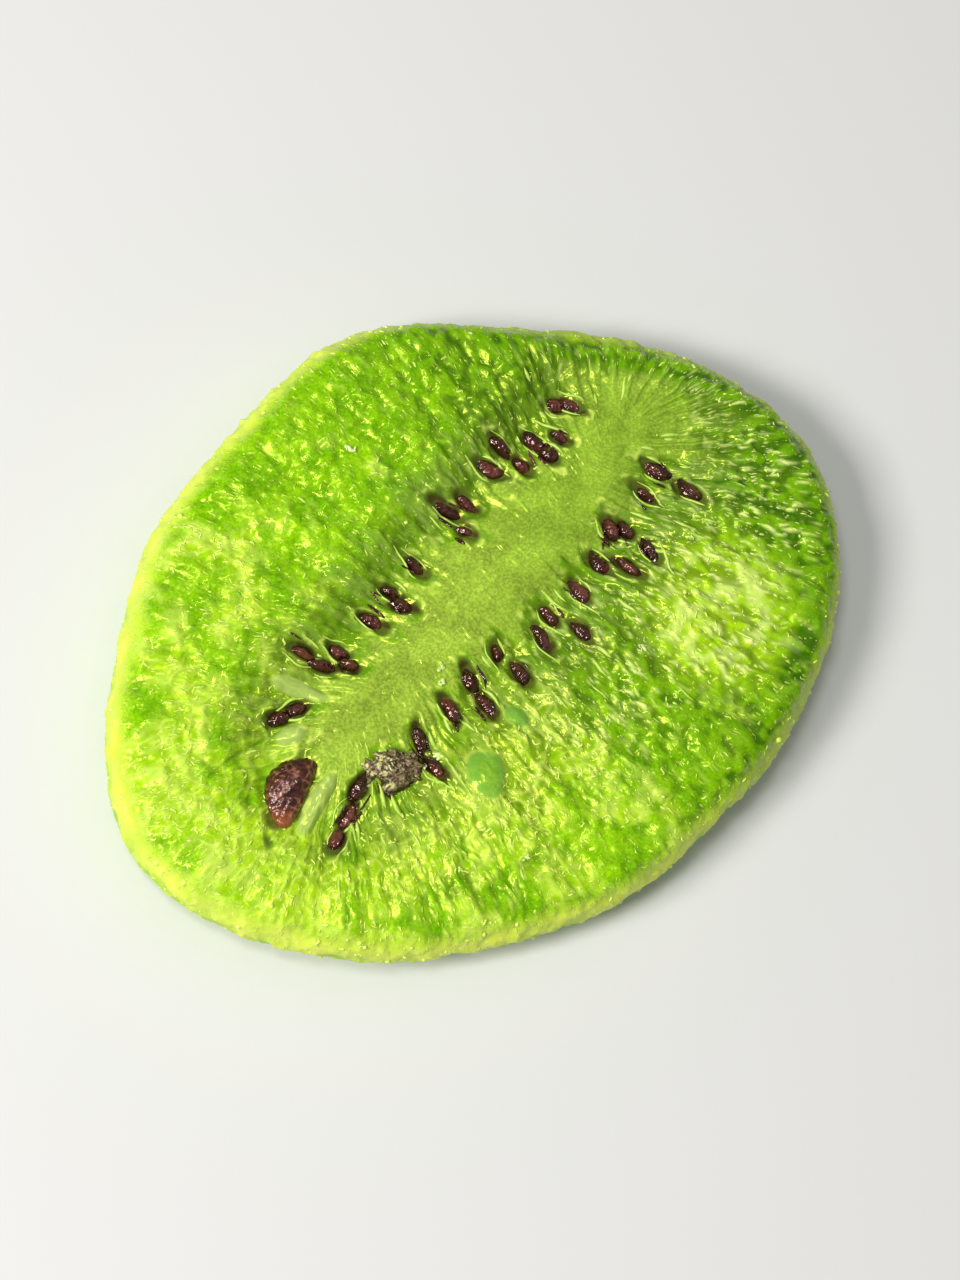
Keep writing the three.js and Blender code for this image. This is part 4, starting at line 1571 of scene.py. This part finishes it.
class KIWI_OT_stage(bpy.types.Operator):
    """Set up the pale floor, the soft light and the camera"""

    bl_idname = "kiwi.stage"
    bl_label = "Stage"

    def execute(self, context):
        settings = context.scene.kiwi_stage
        self.floor(settings)
        self.lights(context, settings)
        self.camera(context, settings)
        return {"FINISHED"}

    def floor(self, settings):
        mesh = bpy.data.meshes.new("floor")
        corners = [
            (x * FLOOR_REACH, y * FLOOR_REACH, FLOOR_LEVEL)
            for x, y in ((-1, -1), (1, -1), (1, 1), (-1, 1))
        ]
        mesh.from_pydata(corners, [], [(0, 1, 2, 3)])
        material, _, shader = new_material("Pale floor")
        shader["Base Color"].default_value = opaque(settings.floor_colour)
        shader["Roughness"].default_value = 0.7
        mesh.materials.append(material)
        floor = bpy.data.objects.new("floor", mesh)
        bpy.context.scene.collection.objects.link(floor)

    def lights(self, context, settings):
        for name, (place, size, colour) in LIGHTS.items():
            area_light(name, place, size, getattr(settings, f"{name}_power"), colour)
        world = bpy.data.worlds.new("Studio")
        world.use_nodes = True
        background = world.node_tree.nodes["Background"].inputs
        background["Color"].default_value = (1, 1, 1, 1)
        background["Strength"].default_value = AMBIENT_STRENGTH
        context.scene.world = world
        context.scene.view_settings.view_transform = "Standard"

    def camera(self, context, settings):
        """Looks at the slice as the photographer did, with the picture's upright close to +Y."""
        level = math.cos(CAMERA_ELEVATION)
        x, y = math.sin(CAMERA_AZIMUTH) * level, -math.cos(CAMERA_AZIMUTH) * level
        back = Vector((x, y, math.sin(CAMERA_ELEVATION)))
        right = (-back).cross(Vector((0, 1, 0))).normalized()
        up = back.cross(right)
        data = bpy.data.cameras.new("camera")
        data.lens = settings.lens
        camera = bpy.data.objects.new("camera", data)
        distance = settings.view_width * PICTURE_ASPECT * settings.lens / data.sensor_width
        turn = Matrix((right, up, back)).transposed().to_4x4()
        camera.matrix_world = Matrix.Translation(Vector(CAMERA_TARGET) + back * distance) @ turn
        bpy.context.scene.collection.objects.link(camera)
        context.scene.camera = camera


class KIWI_PT_panel(bpy.types.Panel):
    bl_idname = "KIWI_PT_panel"
    bl_label = "Dried Kiwi Slice"
    bl_space_type = "VIEW_3D"
    bl_region_type = "UI"
    bl_category = "Dried Kiwi"

    def draw(self, context):
        for operator, settings in STEPS:
            box = self.layout.box()
            box.operator(operator.bl_idname)
            if settings:
                group = getattr(context.scene, settings)
                for name in group.__annotations__:
                    box.prop(group, name)


STEPS = (
    (KIWI_OT_flesh, "kiwi_flesh"),
    (KIWI_OT_seeds, "kiwi_seeds"),
    (KIWI_OT_lump, None),
    (KIWI_OT_pulp, "kiwi_pulp"),
    (KIWI_OT_fibres, "kiwi_fibres"),
    (KIWI_OT_sugar, "kiwi_sugar"),
    (KIWI_OT_stage, "kiwi_stage"),
)
SETTINGS = {
    "kiwi_flesh": KiwiFleshSettings,
    "kiwi_seeds": KiwiSeedSettings,
    "kiwi_pulp": KiwiPulpSettings,
    "kiwi_fibres": KiwiFibreSettings,
    "kiwi_sugar": KiwiSugarSettings,
    "kiwi_stage": KiwiStageSettings,
}
CLASSES = (*SETTINGS.values(), *(operator for operator, _ in STEPS), KIWI_PT_panel)


def register():
    for cls in CLASSES:
        bpy.utils.register_class(cls)
    for name, group in SETTINGS.items():
        setattr(bpy.types.Scene, name, PointerProperty(type=group))


def unregister():
    for name in SETTINGS:
        delattr(bpy.types.Scene, name)
    for cls in reversed(CLASSES):
        bpy.utils.unregister_class(cls)


def main():
    register()
    for operator, _ in STEPS:
        category, name = operator.bl_idname.split(".")
        getattr(getattr(bpy.ops, category), name)()


if __name__ == "__main__":
    main()
